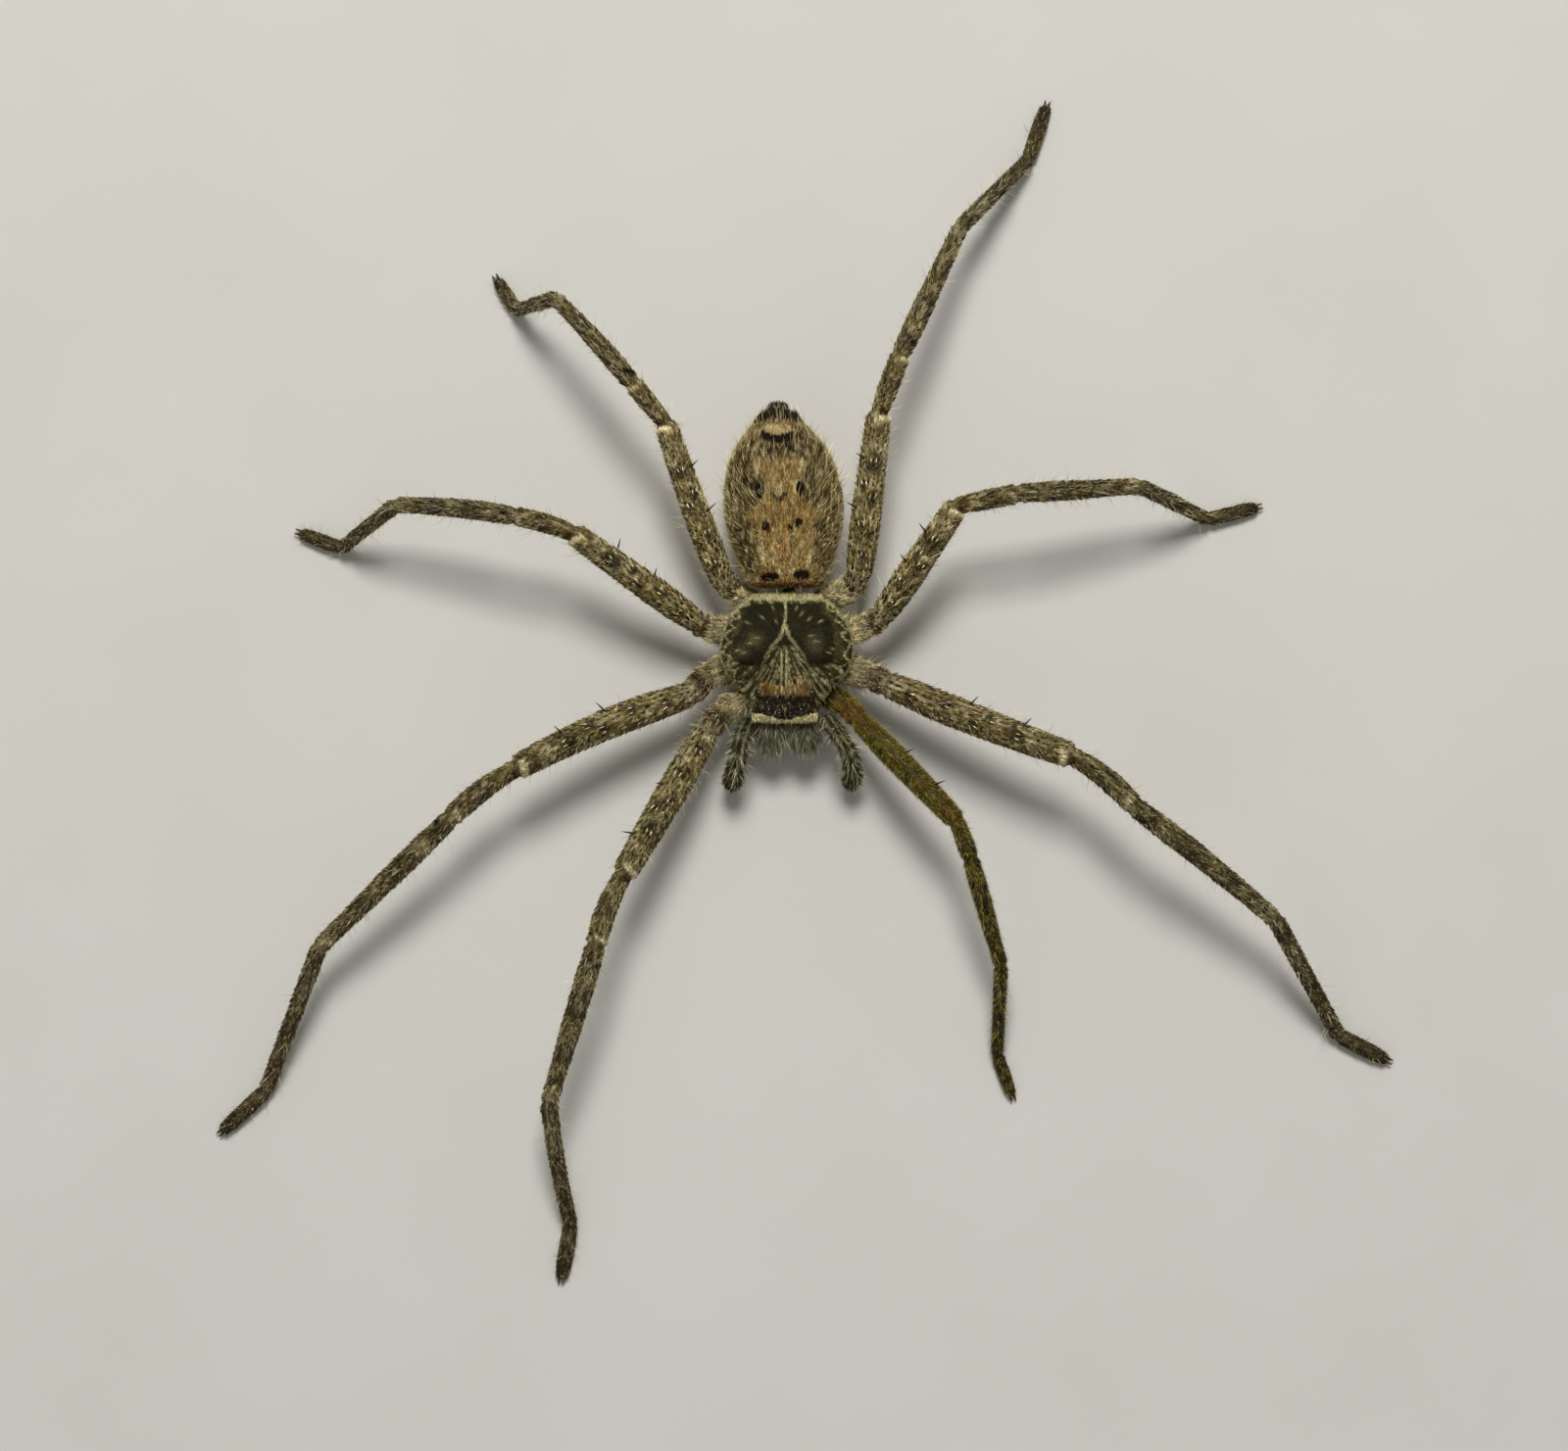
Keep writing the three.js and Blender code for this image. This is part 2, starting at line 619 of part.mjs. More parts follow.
function makePalp(name, palp) {
  const joints = jointsOf(palp.root, palp.lengths, palp.headings, palp.heights);
  const planes = planesOf(joints);
  const pieces = Object.values(palpRadii).map((radii) => ({ radii }));
  const piece = (first, count, steps) => {
    const span = (list, extra) => list.slice(first, first + count + extra);
    return limb(limbRings(span(joints, 1), span(planes, 1), span(pieces, 0), 1, steps), 10);
  };
  addPart(`palp_${name}_upper`, piece(0, 2, [4, 3]), finishes.palp);
  addPart(`palp_${name}_lower`, piece(2, 2, [3, 5]), finishes.palp);
}

makeCarapace();
makeEyes();
makeSternum();
makeMouth();
makeJaw(-1);
makeJaw(1);
makeAbdomen();
makeSpinnerets();
Object.entries(palps).forEach(([name, palp]) => makePalp(name, palp));
Object.entries(legs).forEach(([name, leg]) => makeLeg(name, leg));

const middle = new THREE.Box3().setFromObject(spider).getCenter(new THREE.Vector3());
spider.position.set(-middle.x, -middle.y, 0);

export default spider;
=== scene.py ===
import math

import bpy
import numpy as np
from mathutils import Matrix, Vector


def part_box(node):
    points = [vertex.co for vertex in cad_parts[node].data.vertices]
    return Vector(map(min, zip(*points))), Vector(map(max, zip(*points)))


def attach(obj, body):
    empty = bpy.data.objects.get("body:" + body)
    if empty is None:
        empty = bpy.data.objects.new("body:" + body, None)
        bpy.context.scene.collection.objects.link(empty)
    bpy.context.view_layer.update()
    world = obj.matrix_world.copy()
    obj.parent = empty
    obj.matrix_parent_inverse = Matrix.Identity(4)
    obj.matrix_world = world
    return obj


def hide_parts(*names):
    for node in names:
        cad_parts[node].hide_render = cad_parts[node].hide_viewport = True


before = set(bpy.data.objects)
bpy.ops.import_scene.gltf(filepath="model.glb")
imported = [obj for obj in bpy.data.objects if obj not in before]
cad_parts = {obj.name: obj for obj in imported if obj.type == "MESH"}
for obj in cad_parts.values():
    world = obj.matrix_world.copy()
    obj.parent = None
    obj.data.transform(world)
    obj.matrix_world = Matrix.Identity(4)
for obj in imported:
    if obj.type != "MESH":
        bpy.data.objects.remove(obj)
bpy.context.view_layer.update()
bpy.ops.object.select_all(action="DESELECT")

# All sizes below are millimetres in the animal's own frame: head toward -Y, the floor at 0, and the
# origin on the floor under the front edge of the head. inRow() turns them into the row's metres.
shellLow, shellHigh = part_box("carapace")
bodyOrigin = np.array([(shellLow.x + shellHigh.x) / 2, shellLow.y, 0])
hands = {"r": -1, "l": 1}      # the animal's own right and left, along x
masks = ("dark", "pale", "warm", "tan")       # the markings that skins and hairs carry
most, least = np.maximum, np.minimum


def inRow(points):
    return np.asarray(points, float) / 1000 + bodyOrigin


# Materials

def linear(text):
    # an sRGB hex value as a linear colour
    parts = [int(text[i:i + 2], 16) / 255 for i in (1, 3, 5)]
    return [p / 12.92 if p <= 0.04045 else ((p + 0.055) / 1.055) ** 2.4 for p in parts] + [1.0]


def add(tree, kind, links=None, **settings):
    # a shader node with its settings; each input is linked, or set to a number or a hex colour
    made = tree.nodes.new("ShaderNode" + kind)
    for name, value in settings.items():
        setattr(made, name, value)
    for socket, value in (links or {}).items():
        found = made.inputs[socket] if isinstance(socket, int) else next(
            s for s in made.inputs if socket in (s.identifier, s.name))
        if isinstance(value, bpy.types.NodeSocket):
            tree.links.new(value, found)
        else:
            found.default_value = linear(value) if isinstance(value, str) else value
    return made


def materialOf(name, paint):
    # a material whose shader has the inputs that paint() gives
    made = bpy.data.materials.new(name)
    made.use_nodes = True
    tree = made.node_tree
    tree.nodes.clear()
    shader = add(tree, "BsdfPrincipled", paint(tree))
    add(tree, "OutputMaterial", {"Surface": shader.outputs[0]})
    return made


fur = {   # how the streaks of all the coats look
    "parting": (0.38, 0.62),   # noise values between which the first two colours part
    "patch": (0.35, 0.75, 0.4),    # and where the third comes in, and how strongly
    "depth": (0.35, 0.65),     # and between which a streak turns from light to dark
    "patchScale": 0.9,         # per mm
    "own": (0.62, 0.43),       # the share of a hair's own shade, and the shade of bare skin
    "tip": 0.2,                # how much lighter the tips are
    "dull": (-0.08, 0.1),      # what the patches take off the roughness, and add to it
    "relief": 0.5,             # strength of the streaks' bump
    "specular": 0.1,
    "sheen": (0.02, 0.4),      # weight and roughness
}


def coatedCuticle(name, tones, fine=(0.11, 0.42), roughness=0.7, bump=0.02, deep=0.28, **marked):
    # chitin under a coat of hair: dull and fibrous, pale and dark hairs lying in fine streaks; the
    # masks carry the markings, and hairs and skin share them. Fine is the streaks' width and
    # length, and bump their height, in mm
    base, second, third = tones.split()

    def paint(tree):
        values = {key: add(tree, "Attribute", attribute_name=key).outputs
                  for key in (*masks, "lay", "shade", "tip")}
        lay = values["lay"]["Vector"]
        stretch = add(tree, "VectorMath", {0: lay, 1: (1 / fine[0], 1 / fine[1], 1 / fine[0])},
                      operation="MULTIPLY")
        streaks = add(tree, "TexNoise", {"Vector": stretch.outputs[0], "Scale": 1.0,
                                         "Detail": 2.0, "Roughness": 0.6}).outputs["Fac"]
        broad = add(tree, "TexNoise", {"Vector": lay, "Scale": fur["patchScale"],
                                       "Detail": 3.0}).outputs["Fac"]
        low, high = fur["parting"]
        parted = add(tree, "MapRange", {"Value": streaks, "From Min": low, "From Max": high})
        low, high, full = fur["patch"]
        patch = add(tree, "MapRange", {"Value": broad, "From Min": low, "From Max": high,
                                       "To Max": full})
        tone = base
        coats = [(parted.outputs[0], second), (patch.outputs[0], third)]
        coats += [(values[mask]["Fac"], marked.get(mask, base))
                  for mask in ("tan", "warm", "dark", "pale")]
        for share, colour in coats:
            tone = add(tree, "Mix", {"Factor_Float": share, "A_Color": tone, "B_Color": colour},
                       data_type="RGBA").outputs[2]
        own, bare = fur["own"]
        lift = add(tree, "Math", {0: values["shade"]["Fac"], 1: own, 2: bare},
                   operation="MULTIPLY_ADD")
        lift = add(tree, "Math", {0: values["tip"]["Fac"], 1: fur["tip"], 2: lift.outputs[0]},
                   operation="MULTIPLY_ADD")
        low, high = fur["depth"]
        depth = add(tree, "MapRange", {"Value": streaks, "From Min": low, "From Max": high,
                                       "To Min": 1 + deep, "To Max": 1 - deep})
        lift = add(tree, "Math", {0: lift.outputs[0], 1: depth.outputs[0]}, operation="MULTIPLY")
        toned = add(tree, "VectorMath", {0: tone, "Scale": lift.outputs[0]}, operation="SCALE")
        low, high = fur["dull"]
        dull = add(tree, "MapRange", {"Value": broad, "To Min": roughness + low,
                                      "To Max": roughness + high})
        rough = add(tree, "Bump", {"Height": streaks, "Strength": fur["relief"],
                                   "Distance": bump / 1000})
        sheen, soft = fur["sheen"]
        return {"Base Color": toned.outputs[0], "Roughness": dull.outputs[0],
                "Normal": rough.outputs[0], "IOR": 1.5, "Specular IOR Level": fur["specular"],
                "Sheen Weight": sheen, "Sheen Roughness": soft}
    return materialOf(name, paint)


def tannedChitin(tree):
    # thick tanned chitin, as in claws and spines: almost black, brown where it thins, half glossy
    place = add(tree, "TexCoord").outputs["Object"]
    streak = add(tree, "TexNoise", {"Vector": place, "Scale": 4000.0,
                                    "Detail": 2.0}).outputs["Fac"]       # 0.25 mm
    tone = add(tree, "Mix", {"Factor_Float": streak, "A_Color": "#0d0906", "B_Color": "#2a1a0e"},
               data_type="RGBA")
    ridge = add(tree, "Bump", {"Height": streak, "Strength": 0.3, "Distance": 0.00001})
    return {"Base Color": tone.outputs[2], "Roughness": 0.32, "IOR": 1.56,
            "Normal": ridge.outputs[0]}


def polishedLens(tree):
    # a spider's eye: a polished clear cuticle lens over black, so it takes small sharp highlights
    rim = add(tree, "LayerWeight", {"Blend": 0.25})
    tone = add(tree, "Mix", {"Factor_Float": rim.outputs["Facing"], "A_Color": "#030302",
                             "B_Color": "#0e0906"}, data_type="RGBA")
    return {"Base Color": tone.outputs[2], "Roughness": 0.2, "IOR": 1.45,
            "Specular IOR Level": 0.4, "Coat Weight": 0.6, "Coat Roughness": 0.1}


# Camera, floor and light

shot = {
    "above": (-0.22, -0.19),   # the camera looks straight down on this spot of the body
    "height": 340,
    "width": 120,              # what the picture spans at the height of the back
    "backHeight": 5,
    "sensor": 36,
    "clipStart": 0.01,
}
studio = {                     # metres and degrees
    "floorSide": 3.0,
    "floorPale": "#d9d6cf",
    "floorDeep": "#d0cdc5",
    "keyElevation": 58,        # it comes from behind the spider
    "keyDistance": 0.7,
    "keySize": 0.2,
    "keyPower": 3.9,
    "fillSpot": (-0.3, -0.5, 0.5),
    "fillTurn": (48, 0, -31),
    "fillSize": 0.6,
    "fillPower": 0.4,
    "sky": "#f5f4f1",
    "skyStrength": 0.24,
}


def paintedBoard(tree):
    # matt wall paint on board: an even, dull white with the faint mottle of a roller
    place = add(tree, "TexCoord").outputs["Object"]
    mottle = add(tree, "TexNoise", {"Vector": place, "Scale": 50.0, "Detail": 3.0})     # 20 mm
    tone = add(tree, "Mix", {"Factor_Float": mottle.outputs["Fac"],
                             "A_Color": studio["floorPale"],
                             "B_Color": studio["floorDeep"]}, data_type="RGBA")
    return {"Base Color": tone.outputs[2], "Roughness": 0.85, "IOR": 1.5}


def addLight(spot, turn, size, power):
    bpy.ops.object.light_add(type="AREA", location=spot, rotation=turn)
    light = bpy.context.object.data
    light.size, light.energy = size, power


def makeStudio():
    bpy.ops.object.camera_add(location=inRow([*shot["above"], shot["height"]]), rotation=(0, 0, 0))
    camera = bpy.context.object
    camera.data.sensor_width = shot["sensor"]
    camera.data.lens = shot["sensor"] * (shot["height"] - shot["backHeight"]) / shot["width"]
    camera.data.clip_start = shot["clipStart"]
    bpy.context.scene.camera = camera

    tilt = math.radians(90 - studio["keyElevation"])
    away = studio["keyDistance"]
    addLight((0, away * math.sin(tilt), away * math.cos(tilt)), (-tilt, 0, 0), studio["keySize"],
             studio["keyPower"])
    addLight(studio["fillSpot"], [math.radians(turn) for turn in studio["fillTurn"]],
             studio["fillSize"], studio["fillPower"])

    world = bpy.data.worlds.new("paleRoom")
    world.use_nodes = True
    tree = world.node_tree
    tree.nodes.clear()
    light = add(tree, "Background", {"Color": studio["sky"], "Strength": studio["skyStrength"]})
    add(tree, "OutputWorld", {"Surface": light.outputs[0]})
    bpy.context.scene.world = world
    bpy.context.scene.view_settings.view_transform = "Standard"

    bpy.ops.mesh.primitive_plane_add(size=studio["floorSide"], location=(0, 0, 0))
    floor = bpy.context.object
    floor.name = "floor"
    floor.data.materials.append(materialOf("mattPaintedBoard", paintedBoard))
    print("studio: camera, two soft lights and a pale floor")


# Smooth functions and noise

def through(points):
    # a smooth function of y through a list of (y, value)
    places, values = np.array(points, float).T
    last = len(places) - 1
    near, far = most(np.arange(last + 1) - 1, 0), least(np.arange(last + 1) + 1, last)
    slopes = (values[far] - values[near]) / (places[far] - places[near])

    def value(y):
        y = np.asarray(y, float)
        i = np.clip(np.searchsorted(places, y, side="right"), 1, last)
        span = places[i] - places[i - 1]
        s = held((y - places[i - 1]) / span)
        bend = slopes[i - 1] * s * (1 - s) ** 2 - slopes[i] * s * s * (1 - s)
        return values[i - 1] + (values[i] - values[i - 1]) * s * s * (3 - 2 * s) + bend * span
    return value


def straight(y, points):
    return np.interp(y, *np.array(points).T)


def unit(vectors):
    return vectors / most(np.linalg.norm(vectors, axis=-1, keepdims=True), 1e-12)


def held(value):
    return np.clip(value, 0, 1)


def hill(distance, width=1):
    return np.exp(-(distance / width) ** 2)


def ramp(value, low, high):
    s = held((value - low) / (high - low))
    return s * s * (3 - 2 * s)


def fall(value, low, high):
    return 1 - ramp(value, low, high)


def circle(value):
    return np.sqrt(most(1 - value ** 2, 0))


def squarer(value, power):
    # a sine or cosine that turns a circle into a rounder square
    return np.sign(value) * np.abs(value) ** power


def turnOf(u):
    # the angle at u round a piece, counted from its side upwards; u = 0 is underneath
    return 2 * math.pi * u - math.pi / 2


def drawnAt(x, y, z, seed):
    # an even number from 0 to 1 for each whole-numbered place
    code = (x * 374761393 + y * 668265263 + z * 1440662683 + seed * 974634777) & 0xFFFFFFFF
    code = ((code ^ (code >> 13)) * 1274126177) & 0xFFFFFFFF
    return ((code ^ (code >> 16)) & 0xFFFF) / 65535


def cloud(points, size, seed):
    # smooth noise from 0 to 1 whose patches are about that many millimetres across
    grid = points / np.asarray(size, float) + 1000
    cell = np.floor(grid).astype(np.int64)
    part = grid - cell
    part = part * part * (3 - 2 * part)
    total = 0
    for corner in np.ndindex(2, 2, 2):
        share = np.prod(np.where(corner, part, 1 - part), axis=1)
        total = total + drawnAt(*(cell + corner).T, seed) * share
    return total


def smoothed(values, sigma):
    # a Gaussian blur of the rows that keeps both ends in place
    reach = int(math.ceil(3 * sigma))
    weights = hill(np.arange(-reach, reach + 1), sigma * math.sqrt(2))
    weights /= weights.sum()
    before = 2 * values[:1] - values[reach:0:-1]
    after = 2 * values[-1:] - values[-2:-reach - 2:-1]
    padded = np.concatenate([before, values, after])
    columns = [np.convolve(padded[:, i], weights, mode="valid") for i in range(values.shape[1])]
    return np.stack(columns, axis=1)


def along(sizes, t):
    return np.interp(t, np.linspace(0, 1, len(sizes)), sizes)


def curve(a, b, c, count):
    t = np.linspace(0, 1, count)[:, None]
    return a * (1 - t) ** 2 + 2 * b * t * (1 - t) + c * t * t


def lineDistance(x, y, line):
    # distance in plan to a line through points
    best = np.full(len(x), 99.0)
    for (ax, ay), (bx, by) in zip(line[:-1], line[1:]):
        t = held(((x - ax) * (bx - ax) + (y - ay) * (by - ay)) / ((bx - ax) ** 2 + (by - ay) ** 2))
        best = least(best, np.hypot(x - ax - t * (bx - ax), y - ay - t * (by - ay)))
    return best


# Limbs and forms

def jointsOf(plan):
    heights = plan["heights"]
    joints = [np.array([*plan["root"], heights[0]], float)]
    for i, length in enumerate(plan["lengths"]):
        rise = heights[i + 1] - heights[i]
        reach = math.sqrt(length ** 2 - rise ** 2)
        heading = math.radians(plan["headings"][i])
        joints.append(joints[-1] + [reach * math.cos(heading), reach * math.sin(heading), rise])
    return np.array(joints)


def directionsOf(run):
    forward = unit(run)
    side = unit(np.cross(forward, (0, 0, 1)))
    return forward, side, np.cross(side, forward)


def pieceAt(starts, q):
    return np.clip(np.searchsorted(starts, q, side="right") - 1, 0, len(starts) - 2)


def limbOf(joints, radii, rises=None, bows=None, girth=1, inset=0, bend=0.4, caps=(0.3, 0.3),
           blend=0.15):
    # the centre line, directions and radius of a limb, at many places q along it; each piece's
    # middle may rise, and bow to its right as seen from the body
    lengths = np.linalg.norm(np.diff(joints, axis=0), axis=1)
    starts = np.concatenate([[0], np.cumsum(lengths)])
    count = max(int(starts[-1] / 0.1), 30)
    q = np.linspace(0, starts[-1], count + 1)
    piece = pieceAt(starts, q)
    t = (q - starts[piece]) / lengths[piece]
    run = joints[piece + 1] - joints[piece]
    rise, bow = (np.array(values or [0] * len(lengths))[piece] for values in (rises, bows))
    level, over = directionsOf(run)[1:]
    arch = (4 * t * (1 - t))[:, None]
    centre = joints[piece] + run * t[:, None] + arch * (over * rise[:, None] + level * bow[:, None])
    step = starts[-1] / count
    if bend:
        centre = smoothed(centre, bend / step)
    side, up = directionsOf(np.gradient(centre, axis=0))[1:]
    radius = np.choose(piece, [along(sizes, t) for sizes in radii]) * girth - inset
    if len(radii) > 1:
        radius = smoothed(radius[:, None], blend / step)[:, 0]
    return {"q": q, "centre": centre, "side": side, "up": up, "radius": radius, "starts": starts,
            "lengths": lengths, "caps": caps}


def onLimb(limb, q, angle, reach):
    # points at that reach from the centre line, the angle counted from the side upwards
    here = {key: np.stack([np.interp(q, limb["q"], limb[key][:, i]) for i in range(3)], axis=1)
            for key in ("centre", "side", "up")}
    around = here["side"] * np.cos(angle)[:, None] + here["up"] * np.sin(angle)[:, None]
    return here["centre"] + around * reach[:, None]


layApart = 60.0      # how far apart the patterns of two limbs start


def limbForm(limb, marks, relief=None, shape=None, seed=0, furry=None):
    # a function of u, round the limb from its underside, and v, along it
    total = limb["starts"][-1]
    first, last = limb["caps"]

    def surface(u, v):
        q, angle = held(v) * total, turnOf(u)
        reach = np.interp(q, limb["q"], limb["radius"])
        if relief:
            reach = reach + relief(q)
        reach = reach * circle(1 - held(least(q / first, (total - q) / last)))
        points = onLimb(limb, q, angle, reach)
        lay = np.stack([reach * np.cos(angle), q + layApart * seed, reach * np.sin(angle)], axis=1)
        return (shape(points) if shape else points), lay

    def marksAt(u, v, points, lay):
        return marks(lay[:, 1] - layApart * seed, turnOf(u), lay)

    return formOf(surface, marksAt, furry=furry)


def formOf(surface, marks, lie=None, furry=None):
    # everything that a skin or a coat needs to know at u, v; a hair takes its colour from the spot
    # that it covers, so the marks are looked up some way ahead of its root
    def form(u, v, ahead=0.0):
        step = 4e-4
        points, lay = surface(u, v)
        across = surface(u + step, v)[0] - surface(u - step, v)[0]
        onward = surface(u, least(v + step, 1))[0] - surface(u, most(v - step, 0))[0]
        normal = unit(np.cross(onward, across))
        way = lie(points) if lie else onward
        way = unit(way - normal * np.sum(way * normal, axis=1, keepdims=True))
        found = {"u": u, "v": v, "points": points, "lay": lay, "normal": normal, "way": way}
        found.update({mask: np.zeros(len(u)) for mask in masks})
        ahead = np.broadcast_to(ahead, len(u))[:, None]
        onLay = (way if lie else np.array([[0, 1, 0]])) * ahead
        found.update(marks(u, v, points + way * ahead, lay + onLay))
        found["fur"] = furry(v, points) if furry else np.ones(len(u))
        return found
    return form


def ballForm(centre, size, marks=None, tilt=0, seed=0):
    # an egg of that size, its poles fore and aft, tilted about the sideways axis, its hair lying
    # forward
    turn = math.radians(tilt)

    def surface(u, v):
        angle, polar = turnOf(u), math.pi * held(v)
        ring = np.sin(polar)
        local = np.stack([size[0] * ring * np.cos(angle), -size[1] * np.cos(polar),
                          size[2] * ring * np.sin(angle)], axis=1)
        y = local[:, 1] * math.cos(turn) - local[:, 2] * math.sin(turn)
        z = local[:, 1] * math.sin(turn) + local[:, 2] * math.cos(turn)
        points = np.stack([local[:, 0], y, z], axis=1) + centre
        return points, points + (0, layApart * seed, 0)
    return formOf(surface, evenMarks(**(marks or {})), lieToward(0, -1, 0))


def evenMarks(**marks):
    # the same markings all over, for the marks of a form or of a limb
    return lambda place, *rest: {key: np.full(len(place), value) for key, value in marks.items()}


def lieToward(*way):
    return lambda points: np.tile(way, (len(points), 1)).astype(float)


# Skins and coats

def giveNumbers(mesh, name, values):
    kind, field = ("FLOAT_VECTOR", "vector") if values.ndim == 2 else ("FLOAT", "value")
    layer = mesh.attributes.new(name, kind, "POINT")
    layer.data.foreach_set(field, np.ascontiguousarray(values, np.float32).ravel())


def settle(piece, material, slot, nodes=()):
    piece.data.materials.clear()
    piece.data.materials.append(material)
    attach(piece, "root")
    if nodes:
        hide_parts(*nodes)


def pick(*pieces):
    bpy.ops.object.select_all(action="DESELECT")
    for piece in pieces:
        piece.select_set(True)
    bpy.context.view_layer.objects.active = pieces[0]


def sewUp(piece, apart=0):
    # faces outwards, and corners that lie no further apart than that are one
    pick(piece)
    bpy.ops.object.mode_set(mode="EDIT")
    bpy.ops.mesh.select_all(action="SELECT")
    if apart:
        bpy.ops.mesh.remove_doubles(threshold=apart)
    bpy.ops.mesh.normals_make_consistent(inside=False)
    bpy.ops.object.mode_set(mode="OBJECT")
    bpy.ops.object.shade_smooth()
    return piece


def makeSkin(name, form, columns, rows):
    # a grid of that many faces, wrapped into the form and sewn up along its seam and ends
    bpy.ops.mesh.primitive_grid_add(x_subdivisions=columns, y_subdivisions=rows, size=1)
    piece = bpy.context.object
    piece.name = piece.data.name = name
    flat = np.empty(len(piece.data.vertices) * 3)
    piece.data.vertices.foreach_get("co", flat)
    found = form(*(flat.reshape(-1, 3)[:, :2].T + 0.5))
    piece.data.vertices.foreach_set("co", inRow(found["points"]).ravel())
    for mask in (*masks, "lay"):
        giveNumbers(piece.data, mask, found[mask])
    return sewUp(piece, 2e-7)


def joinPieces(name, pieces):
    pick(*pieces)
    bpy.ops.object.join()
    pieces[0].name = pieces[0].data.name = name
    return pieces[0]


def newPiece(name, mesh):
    piece = bpy.data.objects.new(name, mesh)
    bpy.context.collection.objects.link(piece)
    return piece


def hairs(count, length, width, lean, leanVary, drift, **more):
    # a layer of a coat: sizes in mm, the lean off the skin, how much it varies and how far the
    # hairs stray sideways in degrees. More may give bend, where, sunk, clump, differ and tone, the
    # form that it is on, or a value for a marking in place of the form's own
    return {"count": count, "length": length, "width": width, "lean": lean, "leanVary": leanVary,
            "drift": drift, "sunk": 0.02, "clump": (0.13, 0.55, 0.13), "differ": 1, "tone": 1, **more}


def rootsOn(form, count, draw, where, ahead):
    # places drawn evenly over the form's area, and kept by the share that where() gives
    columns, rows = 48, 240
    u, v = np.meshgrid(np.linspace(0, 1, columns + 1), np.linspace(0, 1, rows + 1))
    grid = form(u.ravel(), v.ravel())["points"].reshape(rows + 1, columns + 1, 3)
    corner = grid[:-1, :-1]
    area = np.linalg.norm(np.cross(grid[1:, :-1] - corner, grid[:-1, 1:] - corner), axis=2)
    odds = np.cumsum(area.ravel()) / area.sum()
    cell = least(np.searchsorted(odds, draw.random(count)), rows * columns - 1)
    u = (cell % columns + draw.random(count)) / columns
    v = (cell // columns + draw.random(count)) / rows
    found = form(u, np.clip(v, 0.001, 0.999), ahead)
    if where:
        kept = draw.random(count) < where(found)
        found = {key: values[kept] for key, values in found.items()}
    return found


hair = {   # how single hairs differ: the variation, and its limits
    "ahead": 0.45,             # where the marks are looked up, as a share of the length
    "length": (0.22, 0.45, 1.8),
    "width": (0.2, 0.5, 1.6),
    "lean": (4, 88),
    "shade": (0.33, 0.15, 2.3),
    "clumpShade": 2.2,
    "bentWidth": 0.7,
    "floorRoom": 0.008,
}


def hairsOn(form, layer, draw):
    # hairs as slim spikes: three corners at the root, three half way where they bend, and a tip
    ahead = layer["length"] * hair["ahead"]
    if "at" in layer:
        found = form(*layer["at"], ahead)
    else:
        found = rootsOn(form, layer["count"], draw, layer.get("where"), ahead)
    count = len(found["u"])

    def spread(amount):
        return draw.normal(0, 1, count) * amount

    def varied(size, amount, low, high):
        return size * np.clip(1 + spread(amount), low, high)
    length = varied(layer["length"], *hair["length"]) * found["fur"]
    width = varied(layer["width"], *hair["width"])
    lean = np.radians(np.clip(layer["lean"] + spread(layer["leanVary"]), *hair["lean"]))
    drift = np.radians(spread(layer["drift"]))[:, None]
    normal = found["normal"]
    way = found["way"] * np.cos(drift) + np.cross(normal, found["way"]) * np.sin(drift)

    def pointing(turn):
        return way * np.cos(turn)[:, None] + normal * np.sin(turn)[:, None]
    first = pointing(lean)
    flat = unit(np.cross(first, normal))
    raised = np.cross(flat, first)
    root = found["points"] - normal * layer["sunk"]
    half = (width / 2)[:, None]
    corners = [flat * half - raised * half * 0.4, -flat * half - raised * half * 0.4,
               raised * half * 0.9]
    points = [root + corner for corner in corners]
    if "bend" in layer:
        middle = root + first * (length * 0.5)[:, None]
        points += [middle + corner * hair["bentWidth"] for corner in corners]
        second = pointing(most(lean - np.radians(layer["bend"]), 0.02))
        points += [middle + second * (length * 0.5)[:, None]]
        steps = [0, 0, 0, 0.5, 0.5, 0.5, 1]
    else:
        points += [root + first * length[:, None]]
        steps = [0, 0, 0, 1]
    points = np.stack(points, axis=1)
    points[..., 2] = most(points[..., 2], hair["floorRoom"])
    numbers = {mask: np.full(count, layer[mask]) if mask in layer else found[mask]
               for mask in masks}
    differ, low, high = hair["shade"]
    clump = hair["clumpShade"] * (cloud(found["lay"], layer["clump"], 91) - 0.5)
    tone = layer["tone"] * (1 + layer["differ"] * (clump + spread(differ)))
    numbers["shade"] = np.clip(tone, low, high)
    numbers["lay"] = found["lay"]
    return points, numbers, np.array(steps), np.stack([found["u"], found["v"]], axis=1)


shortFaces = [(0, 2, 1), (0, 1, 3), (1, 2, 3), (2, 0, 3)]
bentFaces = [(0, 2, 1), (0, 1, 4), (0, 4, 3), (1, 2, 5), (1, 5, 4), (2, 0, 3), (2, 3, 5),
             (3, 4, 6), (4, 5, 6), (5, 3, 6)]
mapPatch = 0.0014      # half the width of a hair's patch of the map


